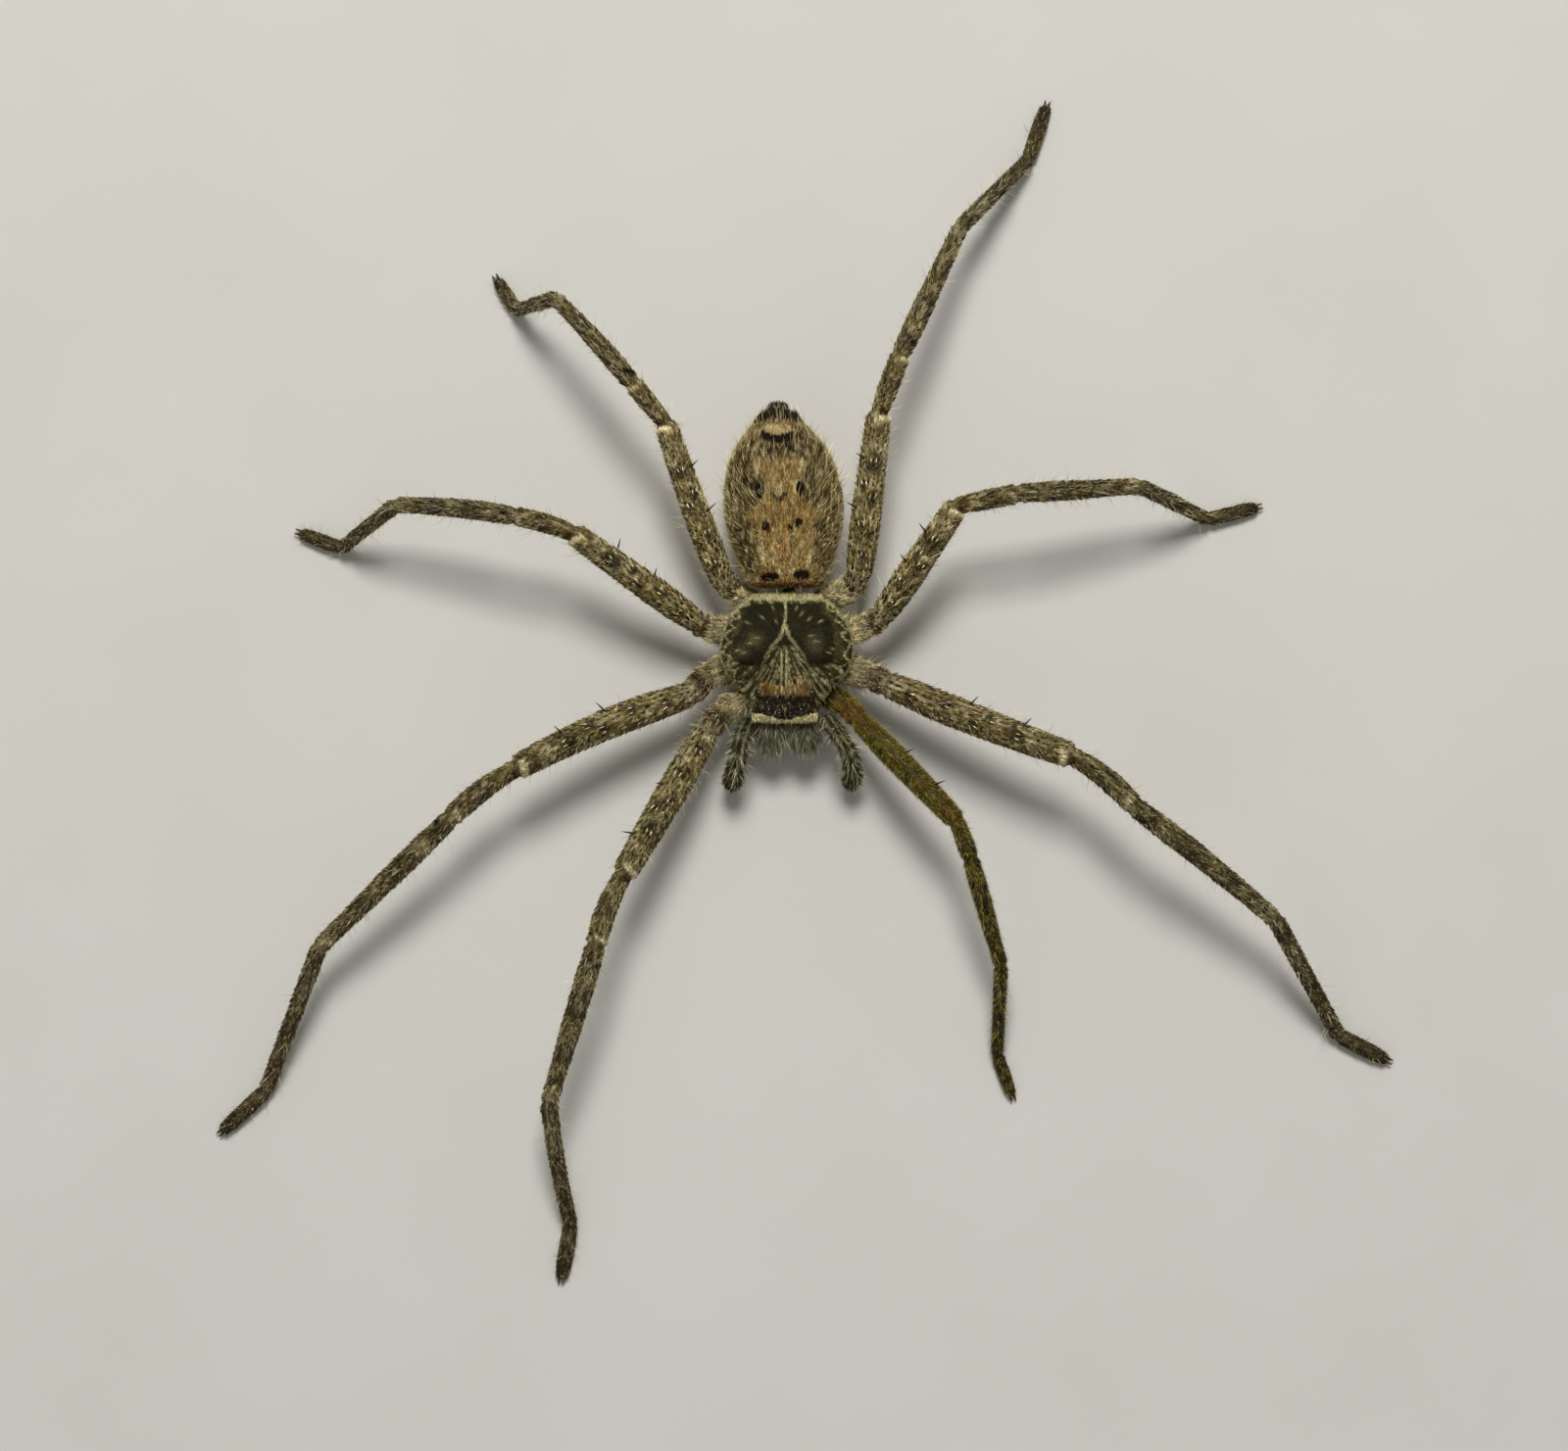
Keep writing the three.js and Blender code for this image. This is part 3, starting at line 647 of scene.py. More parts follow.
def makeCoat(name, forms, layers, seed):
    # one mesh of all the layers' hairs; OFBake keeps each hair in a small patch at its root's u, v
    draw = np.random.default_rng(seed)
    points, faces, maps, tips, numbers = [], [], [], [], {}
    start = 0
    for layer in layers:
        form = forms[layer["on"]] if "on" in layer else forms
        spots, found, steps, roots = hairsOn(form, layer, draw)
        count, each = spots.shape[:2]
        pattern = np.array(shortFaces if each == 4 else bentFaces)
        faces.append((pattern[None] + (np.arange(count) * each)[:, None, None] + start).reshape(-1, 3))
        points.append(spots.reshape(-1, 3))
        tips.append(np.tile(steps, count))
        shifts = np.zeros((each, 2))
        shifts[0::3, 0], shifts[1::3, 0], shifts[-1] = -mapPatch, mapPatch, (0, mapPatch)
        roots = np.clip(roots, 0.002, 0.998)
        maps.append((roots[:, None] + shifts[None])[:, pattern].reshape(-1, 2))
        for key, values in found.items():
            numbers.setdefault(key, []).append(np.repeat(values, each, axis=0))
        start += count * each
    points, faces, maps = (np.concatenate(rows) for rows in (points, faces, maps))
    mesh = bpy.data.meshes.new(name)
    mesh.vertices.add(len(points))
    mesh.vertices.foreach_set("co", np.ascontiguousarray(inRow(points), np.float32).ravel())
    mesh.loops.add(faces.size)
    mesh.loops.foreach_set("vertex_index", faces.astype(np.int32).ravel())
    mesh.polygons.add(len(faces))
    mesh.polygons.foreach_set("loop_start", np.arange(0, faces.size, 3, dtype=np.int32))
    mesh.update(calc_edges=True)
    mesh.uv_layers.new(name="OFBake").data.foreach_set("uv", maps.astype(np.float32).ravel())
    for key, values in numbers.items():
        giveNumbers(mesh, key, np.concatenate(values))
    giveNumbers(mesh, "tip", np.concatenate(tips))
    mesh.shade_smooth()
    print(f"{name}: {len(faces)} triangles")
    return newPiece(name, mesh)


def horns(name, lines, radii, sides):
    # slim curved horns, each along its own line of points, as one mesh
    points, faces = [], []
    turns = 2 * math.pi * np.arange(sides) / sides
    for line in lines:
        ways = unit(np.gradient(line, axis=0))
        level = unit(np.cross(ways[0], ways[-1] + (0.01, 0.02, 0.03)))
        start, rings = len(points), len(line)
        for k in range(rings):
            across = unit(np.cross(level, ways[k]))
            reach = float(along(radii, k / (rings - 1)))
            points += [line[k] + reach * (level * math.cos(turn) + across * math.sin(turn))
                       for turn in turns]
        for k in range(rings - 1):
            for j in range(sides):
                a, b = start + k * sides + j, start + k * sides + (j + 1) % sides
                faces.append((a, b, b + sides, a + sides))
        faces.append(tuple(start + j for j in reversed(range(sides))))
        faces.append(tuple(start + (rings - 1) * sides + j for j in range(sides)))
    mesh = bpy.data.meshes.new(name)
    mesh.from_pydata(inRow(points).tolist(), [], faces)
    mesh.update()
    return sewUp(newPiece(name, mesh))


# Legs

legs = {
    "r1": {"root": (-1.95, 2.6), "lengths": (3.3, 2, 13.1, 5.8, 12.9, 11.6, 4.3),
           "headings": (-150, -130, -120, -111, -107, -82, -100),
           "heights": (4.15, 4.3, 4.5, 8, 9, 6.5, 0.68, 0.42), "girth": 1.03,
           "bow": {"patella": 0.25, "metatarsus": 0.15}},
    "r2": {"root": (-2.65, 4.6), "lengths": (3.5, 2.1, 14.6, 6.23, 14.4, 13.1, 4.7),
           "headings": (-166, -130, -157, -142.6, -135.9, -112.2, -137),
           "heights": (4.15, 4.35, 4.6, 7.2, 7.6, 5.2, 0.68, 0.42), "girth": 1.03,
           "bow": {"femur": 0.4, "patella": 0.25}},
    "r3": {"root": (-2.65, 6.7), "lengths": (3.6, 0.9, 12.1, 4.6, 9.44, 8.6, 3.46),
           "headings": (172, 142, 144.5, 164, 174.2, -147.6, 159.9),
           "heights": (4.15, 4.4, 4.7, 8.6, 9.2, 7.2, 0.68, 0.42), "girth": 0.93,
           "bow": {"patella": 0.15, "tibia": 0.2}},
    "r4": {"root": (-1.8, 8.75), "lengths": (2.6, 1.1, 13.4, 3.9, 8.9, 7.7, 2.9),
           "headings": (148, 149, 110, 130, 132, -175, 122),
           "heights": (4.15, 4.3, 4.9, 8.3, 9, 7.6, 0.68, 0.42), "girth": 0.9,
           "bow": {"femur": -0.12, "tibia": 0.1}},
    "l1": {"root": (1.95, 2.6), "lengths": (2.8, 1.6, 11.1, 3, 9, 8.3, 3.5),
           "headings": (-24, -51, -46, -70, -73.6, -91, -70),
           "heights": (4.15, 4.35, 4.8, 7.6, 7.4, 5, 0.64, 0.4), "girth": 0.86, "bow": {}},
    "l2": {"root": (2.65, 4.6), "lengths": (3.9, 1.4, 15.4, 6.1, 14.03, 12.3, 4.3),
           "headings": (-15, -25, -21.5, -39.3, -38.4, -59.1, -27),
           "heights": (4.15, 4.35, 4.6, 8, 8.6, 6.6, 0.68, 0.42), "girth": 1.05,
           "bow": {"femur": 0.15, "patella": -0.3, "tibia": -0.12}},
    "l3": {"root": (2.65, 6.7), "lengths": (3.7, 1.4, 10.7, 4.7, 9.6, 9, 4),
           "headings": (11, 38, 56, 11, 4, -21, 14),
           "heights": (4.15, 4.4, 4.8, 8.8, 9.3, 7.2, 0.68, 0.42), "girth": 0.95, "bow": {}},
    "l4": {"root": (1.8, 8.75), "lengths": (3.5, 1.1, 12.9, 4.7, 11.2, 9.6, 4.4),
           "headings": (27, 55, 83, 69.5, 65, 46.8, 71.5),
           "heights": (4.15, 4.35, 4.9, 8, 8.4, 6, 0.68, 0.42), "girth": 0.98, "bow": {}},
}
regrown = "l1"
legPieces = {   # radii from base to tip, and the rise of the arch
    "coxa": ((0.86, 1, 1.1, 1.12, 1.02), 0),
    "trochanter": ((0.94, 1.06, 0.98), 0),
    "femur": ((0.96, 1.1, 1.17, 1.15, 1.1, 1.04, 0.96), 0.3),
    "patella": ((0.68, 0.8, 0.85, 0.78), 0),
    "tibia": ((0.76, 0.84, 0.83, 0.77, 0.7, 0.67), 0.12),
    "metatarsus": ((0.68, 0.66, 0.63, 0.61, 0.6), 0.15),
    "tarsus": ((0.6, 0.65, 0.65, 0.61, 0.48), 0),
}
legNodes = ("hip", "femur", "tibia", "metatarsus", "tarsus")
legSkin = {
    "inset": 0.08,             # how deep the skin lies under the coat
    "jointPinch": 0.07,        # the soft membrane between two pieces
    "jointWidth": 0.2,
    "collar": 0.03,            # the raised rim on both sides of it, its distance and width
    "collarAway": 0.42,
    "collarWidth": 0.16,
    "columns": 30,
    "rowsPerMm": 6.5,
    "floorRoom": 0.05,
    "caps": (0.25, 0.34),
    "blend": (0.24, 0.45),     # how softly the radii pass over, and on the regrown leg
}
# Bands round a leg piece: (piece, place along it, half width, strength)
darkBands = [
    ("coxa", 0.3, 0.14, 0.8), ("trochanter", 0.5, 0.35, 0.6),
    ("femur", 0.7, 0.045, 0.75), ("femur", 0.9, 0.03, 0.25),
    ("patella", 0.45, 0.14, 0.35), ("tibia", 0.09, 0.05, 1.0), ("tibia", 0.42, 0.07, 0.6),
    ("tibia", 0.7, 0.05, 0.5), ("metatarsus", 0.1, 0.1, 0.6), ("metatarsus", 0.5, 0.07, 0.35),
    ("metatarsus", 0.8, 0.07, 0.4), ("tarsus", 0.95, 0.25, 0.6),
]
paleBands = [
    ("coxa", 0.75, 0.2, 0.55), ("trochanter", 0.95, 0.12, 0.5), ("femur", 0.03, 0.03, 0.5),
    ("femur", 0.82, 0.04, 0.25), ("tibia", 0.94, 0.05, 0.5), ("metatarsus", 0.25, 0.07, 0.3),
]
# Pale crescents on the side toward the head, as rows of the same kind
crescents = [("femur", 0.972, 0.02, 0.95), ("patella", 0.93, 0.04, 0.55), ("tibia", 0.2, 0.03, 0.25)]
# Dark blotches round pairs of white bristles: place along the femur, turn from the side, size
blotches = [(0.15, 80, 0.9), (0.33, 105, 0.9), (0.5, 75, 0.9), (0.57, 115, 0.9), (0.71, 88, 1.35)]
setaApart = 0.36               # the turn between the two bristles of a pair
setaHairs = 3                  # each is a tuft of so many hairs
pieceDark = (0.4, 0.55, 0.0, 0.36, 0.42, 0.6, 0.75)      # the even darkening from coxa to tarsus
dashes = {   # small dark dashes in lengthwise rows
    "shares": (0.08, 0.1, 0.95, 0.6, 0.5, 0.35, 0.1),      # of each piece's places that have one
    "nearBody": (0.2, 0.65),   # how much larger they are on the base of front and rear femora
    "rows": 16,
    "pitch": 0.55,
    "hairs": 6,
    "halfWidth": 0.05,
    "halfLength": 0.07,
    "girth": 0.85,
    "seed": 40,
}


def bandsAt(limb, rows, q):
    order, total = list(legPieces), 0
    for name, at, width, strength in rows:
        i = order.index(name)
        away = (q - limb["starts"][i] - at * limb["lengths"][i]) / limb["lengths"][i]
        total = most(total, strength * hill(away, width))
    return total


def crescentsAt(limb, name, q, angle):
    facing = hands[name[0]] * np.cos(angle) + 0.3 * np.sin(angle)
    curved = q + 0.3 * (1 - held(facing)) ** 2
    return bandsAt(limb, crescents, curved) * ramp(facing, -0.35, 0.25)


def blotchAngle(name, turn):
    return math.radians(turn if name[0] == "l" else 180 - turn)


def legMarks(limb, name, number):
    starts, lengths = limb["starts"], limb["lengths"]
    middle = starts[:-1] + lengths / 2

    def clouds(lay):
        return cloud(lay, (0.7, 0.9, 0.7), number), cloud(lay, (0.2, 0.45, 0.2), number + 40)

    def youngMarks(q, angle, lay):
        # plain olive, orange brown at the joints, darker toward the foot
        blotch, fine = clouds(lay)
        dark = np.interp(q, (0, *starts[2:5], starts[7]), (0.3, 0.05, 0.25, 0.65, 0.8))
        warm = 0.55 * hill(q - starts[2] + 0.6, 1.2) + 0.5 * hill(q - starts[3] + 0.5, 1.1)
        return {"dark": dark + 0.25 * ramp(fine, 0.6, 0.8), "pale": 0.25 * ramp(fine, 0.4, 0.2),
                "warm": held(warm + 0.3 * ramp(blotch, 0.45, 0.7))}

    def marks(q, angle, lay):
        blotch, fine = clouds(lay)
        piece = pieceAt(starts, q)
        toHead, top = hands[name[0]] * np.cos(angle), np.sin(angle)
        warped = q + (blotch - 0.5) * 0.7 + (fine - 0.5) * 0.35
        even = np.interp(q, middle, pieceDark)
        even = np.where(q > starts[2] + 0.6, np.where(q < middle[2], 0.0, even), even)
        dark = bandsAt(limb, darkBands, warped) * (0.65 + 0.35 * most(top, toHead))
        dark = dark * (0.6 + 0.8 * blotch)
        spots = 0
        for at, turn, size in blotches:
            around = (angle - blotchAngle(name, turn)) * 1.05
            away = np.hypot((warped - starts[2] - at * lengths[2]) / 0.62, around / 0.5) / size
            spots = most(spots, fall(away, 0.55, 1.15) * (0.6 + 0.7 * fine))
        spots = np.clip(spots, 0, 0.95)
        knee = hill(q - starts[3] - 0.3, 0.42) * ramp(toHead, -0.4, 0.2)
        light = crescentsAt(limb, name, q, angle)
        pale = most(light, bandsAt(limb, paleBands, warped) * (0.5 + 0.8 * fine))
        pale = pale + 0.6 * ramp(fine, 0.55, 0.72) * (1 - even) + 0.3 * held(-top) * (piece < 5)
        pale = held(pale * (1 - 0.5 * even)) * (1 - knee) * (1 - 0.9 * spots)
        dark = even + (1 - even) * most(dark, 0.5 * ramp(fine, 0.45, 0.25))
        dark = most(most(dark * (1 - 0.75 * pale), spots), 0.8 * knee)
        warm = 0.45 * (piece == 1) + 0.4 * light + 0.9 * knee
        return {"dark": held(dark), "pale": pale, "warm": held(warm)}
    return youngMarks if name == regrown else marks


def legRelief(limb):
    def relief(q):
        change = 0
        for spot in limb["starts"][1:-1]:
            away = np.abs(q - spot)
            change = change - legSkin["jointPinch"] * hill(away, legSkin["jointWidth"])
            change = change + legSkin["collar"] * hill(away - legSkin["collarAway"],
                                                       legSkin["collarWidth"])
        return change
    return relief


def dashRoots(limb, name):
    # u and v of the hairs of the dashes, how much larger than the least they are, and how dark
    draw = np.random.default_rng(dashes["seed"] + list(legs).index(name))
    starts, rows, pitch = limb["starts"], dashes["rows"], dashes["pitch"]
    row, cell = (grid.ravel() for grid in np.meshgrid(np.arange(rows),
                                                      np.arange(int(starts[-1] / pitch))))
    q = (cell + 0.5 + 0.5 * (row % 2) + draw.uniform(-0.3, 0.3, len(row))) * pitch
    u = (row + 0.5 + draw.uniform(-0.2, 0.2, len(row))) / rows
    light = crescentsAt(limb, name, q, turnOf(u))
    shares = np.array(dashes["shares"])[pieceAt(starts, q)]
    kept = draw.random(len(row)) < shares * (light < 0.25)
    depth = draw.uniform(0.45, 1, len(row))
    q, u, depth = (np.repeat(values[kept], dashes["hairs"]) for values in (q, u, depth))
    femur = (q - starts[2]) / limb["lengths"][2]
    size = 1 + dashes["nearBody"][name[1] in "34"] * fall(femur, 0.15, 0.6)
    q = q + draw.uniform(-1, 1, len(q)) * size * dashes["halfLength"] - legCoat["length"] / 2
    u = u + draw.uniform(-1, 1, len(q)) * size * dashes["halfWidth"] / (2 * math.pi * dashes["girth"])
    return (u % 1, np.clip(q / starts[-1], 0.002, 0.998)), size, depth


spinePieces = {   # the lean along the leg, then rows: turn from the head side, places, length
    "femur": (22, [(70, (0.3, 0.56), 1.3), (142, (0.44, 0.74), 1.3)]),
    "patella": (60, [(62, (0.5,), 1.1), (118, (0.5,), 1.1)]),
    "tibia": (72, [(62, (0.25, 0.6), 1.7), (118, (0.25, 0.6), 1.7), (-66, (0.18, 0.44, 0.7), 1.9),
                   (-114, (0.18, 0.44, 0.7), 1.9)]),
    "metatarsus": (72, [(60, (0.2, 0.48), 1.7), (120, (0.2, 0.48), 1.7), (-64, (0.16, 0.4), 2),
                        (-116, (0.16, 0.4), 2)]),
}
spine = {
    "radii": (0.08, 0.076, 0.064, 0.044, 0.016),
    "sunk": 0.15,
    "rootReach": 0.88,
    "lengthVariation": 0.18,
    "placeVariation": 0.03,
    "turnVariation": 8,
    "seed": 7,
    "sides": 6,
    "curl": 0.1,
    "floorRoom": 0.1,
}


def plainDraws(seed):
    # the same even numbers as the solids' spines are drawn from
    state = seed
    while True:
        state = (state * 1664525 + 1013904223) % 4294967296
        yield state / 4294967296


def spineLines(joints, name, leg):
    # the centre line of each spine, where the solids have theirs
    draws = plainDraws(spine["seed"] + list(legs).index(name))
    vary = lambda amount: (next(draws) * 2 - 1) * amount
    lines = []
    for i, (pieceName, (radii, rise)) in enumerate(legPieces.items()):
        start, run = joints[i], joints[i + 1] - joints[i]
        forward, side, up = directionsOf(run)
        lean, rows = spinePieces.get(pieceName, (0, ()))
        slant = math.radians(lean)
        for turn, places, length in rows:
            for at in places:
                t = at + vary(spine["placeVariation"])
                angle = math.radians(turn + vary(spine["turnVariation"]))
                out = side * hands[name[0]] * math.cos(angle) + up * math.sin(angle)
                arch = (up * rise + side * leg["bow"].get(pieceName, 0)) * 4 * t * (1 - t)
                root = start + run * t + arch
                root = root + out * along(radii, t) * leg["girth"] * spine["rootReach"]
                way = out * math.cos(slant) + forward * math.sin(slant)
                size = length * (1 + vary(spine["lengthVariation"]))
                t = np.linspace(-spine["sunk"] / size, 1, 7)[:, None]
                line = root + way * size * t - out * spine["curl"] * size * most(t, 0) ** 2
                line[:, 2] = most(line[:, 2], spine["floorRoom"])
                lines.append(line)
    return lines


claw = {"radii": (0.11, 0.1, 0.08, 0.05, 0.012), "length": 0.5, "apart": 0.14, "splay": 0.6,
        "drop": 0.2, "sunk": 0.35, "sides": 8}


def clawLines(joints):
    tip = joints[-1]
    forward, side, up = directionsOf((joints[-1] - joints[-2]) * (1, 1, 0))
    lines = []
    for hand in hands.values():
        def spot(ahead, height):
            apart = side * hand * claw["apart"] * (1 + max(ahead, 0) * claw["splay"])
            return (tip + forward * ahead + apart) * (1, 1, 0) + (0, 0, height)
        lines.append(curve(spot(-claw["sunk"], tip[2] + 0.05),
                           spot(claw["length"] * 0.75, tip[2] + 0.16),
                           spot(claw["length"] * 0.98, tip[2] - claw["drop"]), 8))
    return lines


legCoat = {
    "hairs": 23000,
    "youngHairs": 13800,
    "length": 0.28,
    "width": 0.06,
    "down": 2400,
    "longHairs": 900,
}


def youngLayers():
    return [
        hairs(legCoat["youngHairs"], 0.34, 0.034, 20, 8, 11, tone=1.25, differ=1.1),
        hairs(4200, 0.42, 0.03, 44, 13, 22, pale=0.75, dark=0, tone=1.2),
        hairs(260, 0.8, 0.03, 62, 12, 30, bend=22, pale=0.7, dark=0.05),
    ]


def legLayers(limb, name):
    starts, lengths = limb["starts"], limb["lengths"]
    total = starts[-1]
    before = lambda found, i: fall(found["v"] * total - starts[i], -0.3, 0.3)
    tip = lambda found: ramp(found["v"] * total - starts[6], 1.6, 3.2)
    below = lambda found: 0.3 + 0.7 * ramp(found["normal"][:, 2], 0.5, -0.5)
    tufts = lambda found: cloud(found["lay"], (0.5, 0.6, 0.5), 23)
    onHip = lambda found: before(found, 1) * ramp(tufts(found), 0.44, 0.56)
    onRing = lambda found: before(found, 2) * (1 - before(found, 1)) * ramp(tufts(found), 0.5, 0.6)

    def bright(found):
        light = crescentsAt(limb, name, found["v"] * total, turnOf(found["u"]))
        streaks = ramp(cloud(found["lay"], (0.12, 0.9, 0.12), 29), 0.35, 0.6)
        return ramp(light, 0.35, 0.8) * (0.25 + 0.75 * streaks)
    dashAt, dashSize, dashDepth = dashRoots(limb, name)
    setae = [((blotchAngle(name, turn) + side * setaApart / 2 + math.pi / 2) / (2 * math.pi),
              (starts[2] + at * lengths[2]) / total)
             for at, turn, size in blotches for side in (-1, 1)]
    setae = np.repeat(setae, setaHairs, axis=0)
    return [
        hairs(legCoat["hairs"], legCoat["length"], legCoat["width"], 14, 5, 9, differ=0.62, tone=1.08),
        hairs(0, 0.32 * dashSize ** 0.6, 0.085 * dashSize, 20, 3, 6, at=dashAt, sunk=0.0,
              dark=dashDepth, pale=0, tone=0.75),
        hairs(60000, 0.34, 0.07, 20, 4, 7, where=bright, pale=0.85, dark=0, warm=0.6, tone=1.1),
        hairs(legCoat["down"], 0.4, 0.03, 40, 13, 24, pale=0.8, dark=0),
        hairs(legCoat["longHairs"], 1.2, 0.032, 60, 12, 30, bend=22, where=below, pale=0.8,
              dark=0.05),
        hairs(16000, 0.6, 0.06, 28, 12, 34, where=onHip, clump=(0.3, 0.5, 0.3), differ=1.9,
              dark=0, pale=0.55, tone=1.2),
        hairs(5000, 0.4, 0.05, 30, 12, 30, where=onRing, pale=0.8, dark=0, tone=1.15),
        hairs(9000, 0.42, 0.05, 24, 9, 14, where=tip, dark=0.9, pale=0),
        hairs(0, 0.5, 0.085, 26, 3, 5, at=setae.T, pale=1, dark=0, warm=0, tone=1.5, differ=0.3),
    ]


def makeLegs():
    grown = coatedCuticle("hairyLegCuticle", "#b29c63 #8e7b48 #7a6a3c", warm="#875220",
                          dark="#1f1707", pale="#e8dcae")
    young = coatedCuticle("youngLegCuticle", "#6c6520 #544e16 #6b5a1a", roughness=0.5,
                          warm="#85561c", dark="#231f08", pale="#c2ae5e")
    radii, rises = zip(*legPieces.values())
    for number, (name, leg) in enumerate(legs.items()):
        isYoung = name == regrown
        joints = jointsOf(leg)
        limb = limbOf(joints, radii, rises, [leg["bow"].get(piece, 0) for piece in legPieces],
                      leg["girth"], legSkin["inset"], caps=legSkin["caps"],
                      blend=legSkin["blend"][isYoung])
        starts = limb["starts"]

        def onFloor(points):
            points[:, 2] = most(points[:, 2], legSkin["floorRoom"])
            return points

        def furry(v, points):
            # shorter at the joints and on the foot
            q = v * starts[-1]
            bare = sum(hill(q - spot + 0.1, 0.34) for spot in starts[2:-1])
            return (1 - 0.3 * ramp(q - starts[-2], -1, 0.5)) * (1 - 0.5 * least(bare, 1))
        form = limbForm(limb, legMarks(limb, name, number), legRelief(limb), onFloor, number, furry)
        material, slot = (young, "regrown_leg_cuticle") if isYoung else (grown, "leg_cuticle")
        settle(makeSkin(f"skin_leg_{name}", form, legSkin["columns"],
                        int(starts[-1] * legSkin["rowsPerMm"])),
               material, slot, [f"leg_{name}_{node}" for node in legNodes])
        layers = youngLayers() if isYoung else legLayers(limb, name)
        settle(makeCoat(f"coat_leg_{name}", form, layers, 100 + number), material, slot)
        settle(horns(f"spines_leg_{name}", spineLines(joints, name, leg), spine["radii"],
                     spine["sides"]), horn, slot)
        settle(horns(f"claws_leg_{name}", clawLines(joints), claw["radii"], claw["sides"]), horn,
               slot if isYoung else "foot_cuticle")
    print("legs: skins, coats, spines and claws")


# Head and chest shield, with the eyes

midline = through([(0, -0.19), (5.5, 0), (10.2, -0.07), (17, -0.26), (24.4, -0.7)])
shell = {
    "front": 0.04,
    "rear": 9.9,
    "underside": 5.75,
    "rim": 0.25,
    "halfWidth": ((0, 2.45), (1.1, 2.65), (2.7, 3.6), (3.9, 4.6), (5.5, 5.1), (7.4, 4.65),
                  (8.9, 3.7), (9.95, 2.3)),
    "top": ((0, 6.15), (0.8, 6.85), (2.3, 7.55), (4.5, 8.05), (6.5, 7.95), (8.4, 7.25), (9.95, 6.1)),
    "domePower": 0.75,
    "inset": 0.06,
    "edgeRound": 0.22,
    "fovea": (-0.15, 6.3, 8.0),                # the middle pit: sideways, and its two ends
    "foveaDepth": 0.16,
    "grooveDepth": 0.1,
    "rayTurns": (0.75, 1.35, 1.95),            # shallow grooves that fan out, in radians
    "rayFrom": 6.6,                            # and the y that they start from
    "rayDepth": 0.06,
    "whorl": (-0.15, 6.4, 8.4),                # where the hair parts to all sides
    "columns": 170,
    "rows": 150,
}
shellHalfWidth, shellTop = through(shell["halfWidth"]), through(shell["top"])
eyes = {   # sideways from the midline, back from the front edge, radius
    "front_median": (0.43, 0.73, 0.24), "front_lateral": (1.22, 0.98, 0.3),
    "rear_median": (0.6, 1.95, 0.28), "rear_lateral": (2.05, 2.3, 0.27),
}
eyeSink = 0.06
# The arms of the pale V, left and right in the picture, from its point forward
leftArm = ((-0.15, 7.75), (-0.3, 7.1), (-0.52, 6.5), (-1.08, 5.9), (-1.6, 5.07), (-1.94, 3.93),
           (-2.12, 2.9))
rightArm = ((-0.15, 7.75), (-0.03, 7.1), (0.22, 6.5), (0.83, 5.74), (1.21, 5.26), (1.68, 4.12),
            (1.88, 2.9))
# The dark fields of the shield reach out to these sides at each y
fieldLeft = ((4.1, -2.76), (4.5, -3.76), (5.5, -4.26), (6.5, -4.06), (7.5, -3.46), (8.5, -3.4))
fieldRight = ((4.1, 2.3), (4.6, 3.5), (5.5, 3.9), (6.7, 3.71), (7.7, 3.45), (8.5, 2.8))
# The upper edge of the cream band under the eyes: x, y
clypeusTop = ((-2.66, 0.7), (-1.8, 0.56), (-1.2, 0.5), (-0.77, 0.3), (-0.17, 0.16), (0.42, 0.26),
              (0.9, 0.44), (1.4, 0.56), (2.6, 0.74))
# Small pale tufts on the dark fields: x, y
paleSpecks = ((-1.07, 8.77), (-0.82, 7.72), (-1.87, 8.02), (-3.0, 7.62), (0.72, 8.72), (1.12, 8.32),
              (1.72, 7.92), (2.57, 7.72), (1.82, 6.62), (2.3, 6.2), (-2.27, 6.47), (-2.8, 6.07),
              (-3.76, 5.53), (-3.3, 5.33), (3.5, 5.63), (3.2, 5.33))


def shellHeight(x, y):
    rim = shell["underside"] + shell["rim"]
    across = least(np.abs(x - midline(y)) / shellHalfWidth(y), 1)
    return rim + (shellTop(y) - rim) * circle(across) ** shell["domePower"]


def eyePlaces():
    for name, (sideways, y, radius) in eyes.items():
        for letter, side in hands.items():
            x = float(midline(y)) + side * sideways
            yield f"eye_{name}_{letter}", np.array([x, y, float(shellHeight(x, y)) - eyeSink]), radius


def armSide(x, y):
    # above 0 between the two arms of the V
    left, right = (straight(y, np.array(arm)[::-1, ::-1]) for arm in (leftArm, rightArm))
    return least(x - left, right - x) * (y < 7.9) - (y >= 7.9)


def fromArms(x, y):
    return least(lineDistance(x, y, leftArm), lineDistance(x, y, rightArm))


def shellRelief(x, y):
    foveaX, foveaFrom, foveaTo = shell["fovea"]
    inside = ramp(y, foveaFrom - 0.4, foveaFrom + 0.2) * fall(y, foveaTo - 0.2, foveaTo + 0.5)
    depth = shell["foveaDepth"] * hill(x - foveaX, 0.13) * inside
    arms = fromArms(x, y)
    depth = depth + shell["grooveDepth"] * hill(arms, 0.2)
    onward = y - shell["rayFrom"]
    angle, away = np.arctan2(x - foveaX, onward), np.hypot(x - foveaX, onward)
    rays = hill(np.minimum.reduce([np.abs(np.abs(angle) - turn) for turn in shell["rayTurns"]]), 0.09)
    reach = ramp(away, 0.8, 1.6) * fall(away, 3.2, 4.2)
    depth = depth + shell["rayDepth"] * rays * reach * (arms > 0.3)
    swell = 0.05 * ramp(armSide(x, y), 0.1, 0.8) * (y > 1)
    for name, centre, radius in eyePlaces():
        swell = swell + 0.07 * hill(np.hypot(x - centre[0], y - centre[1]) - radius, 0.1)
    return swell - depth


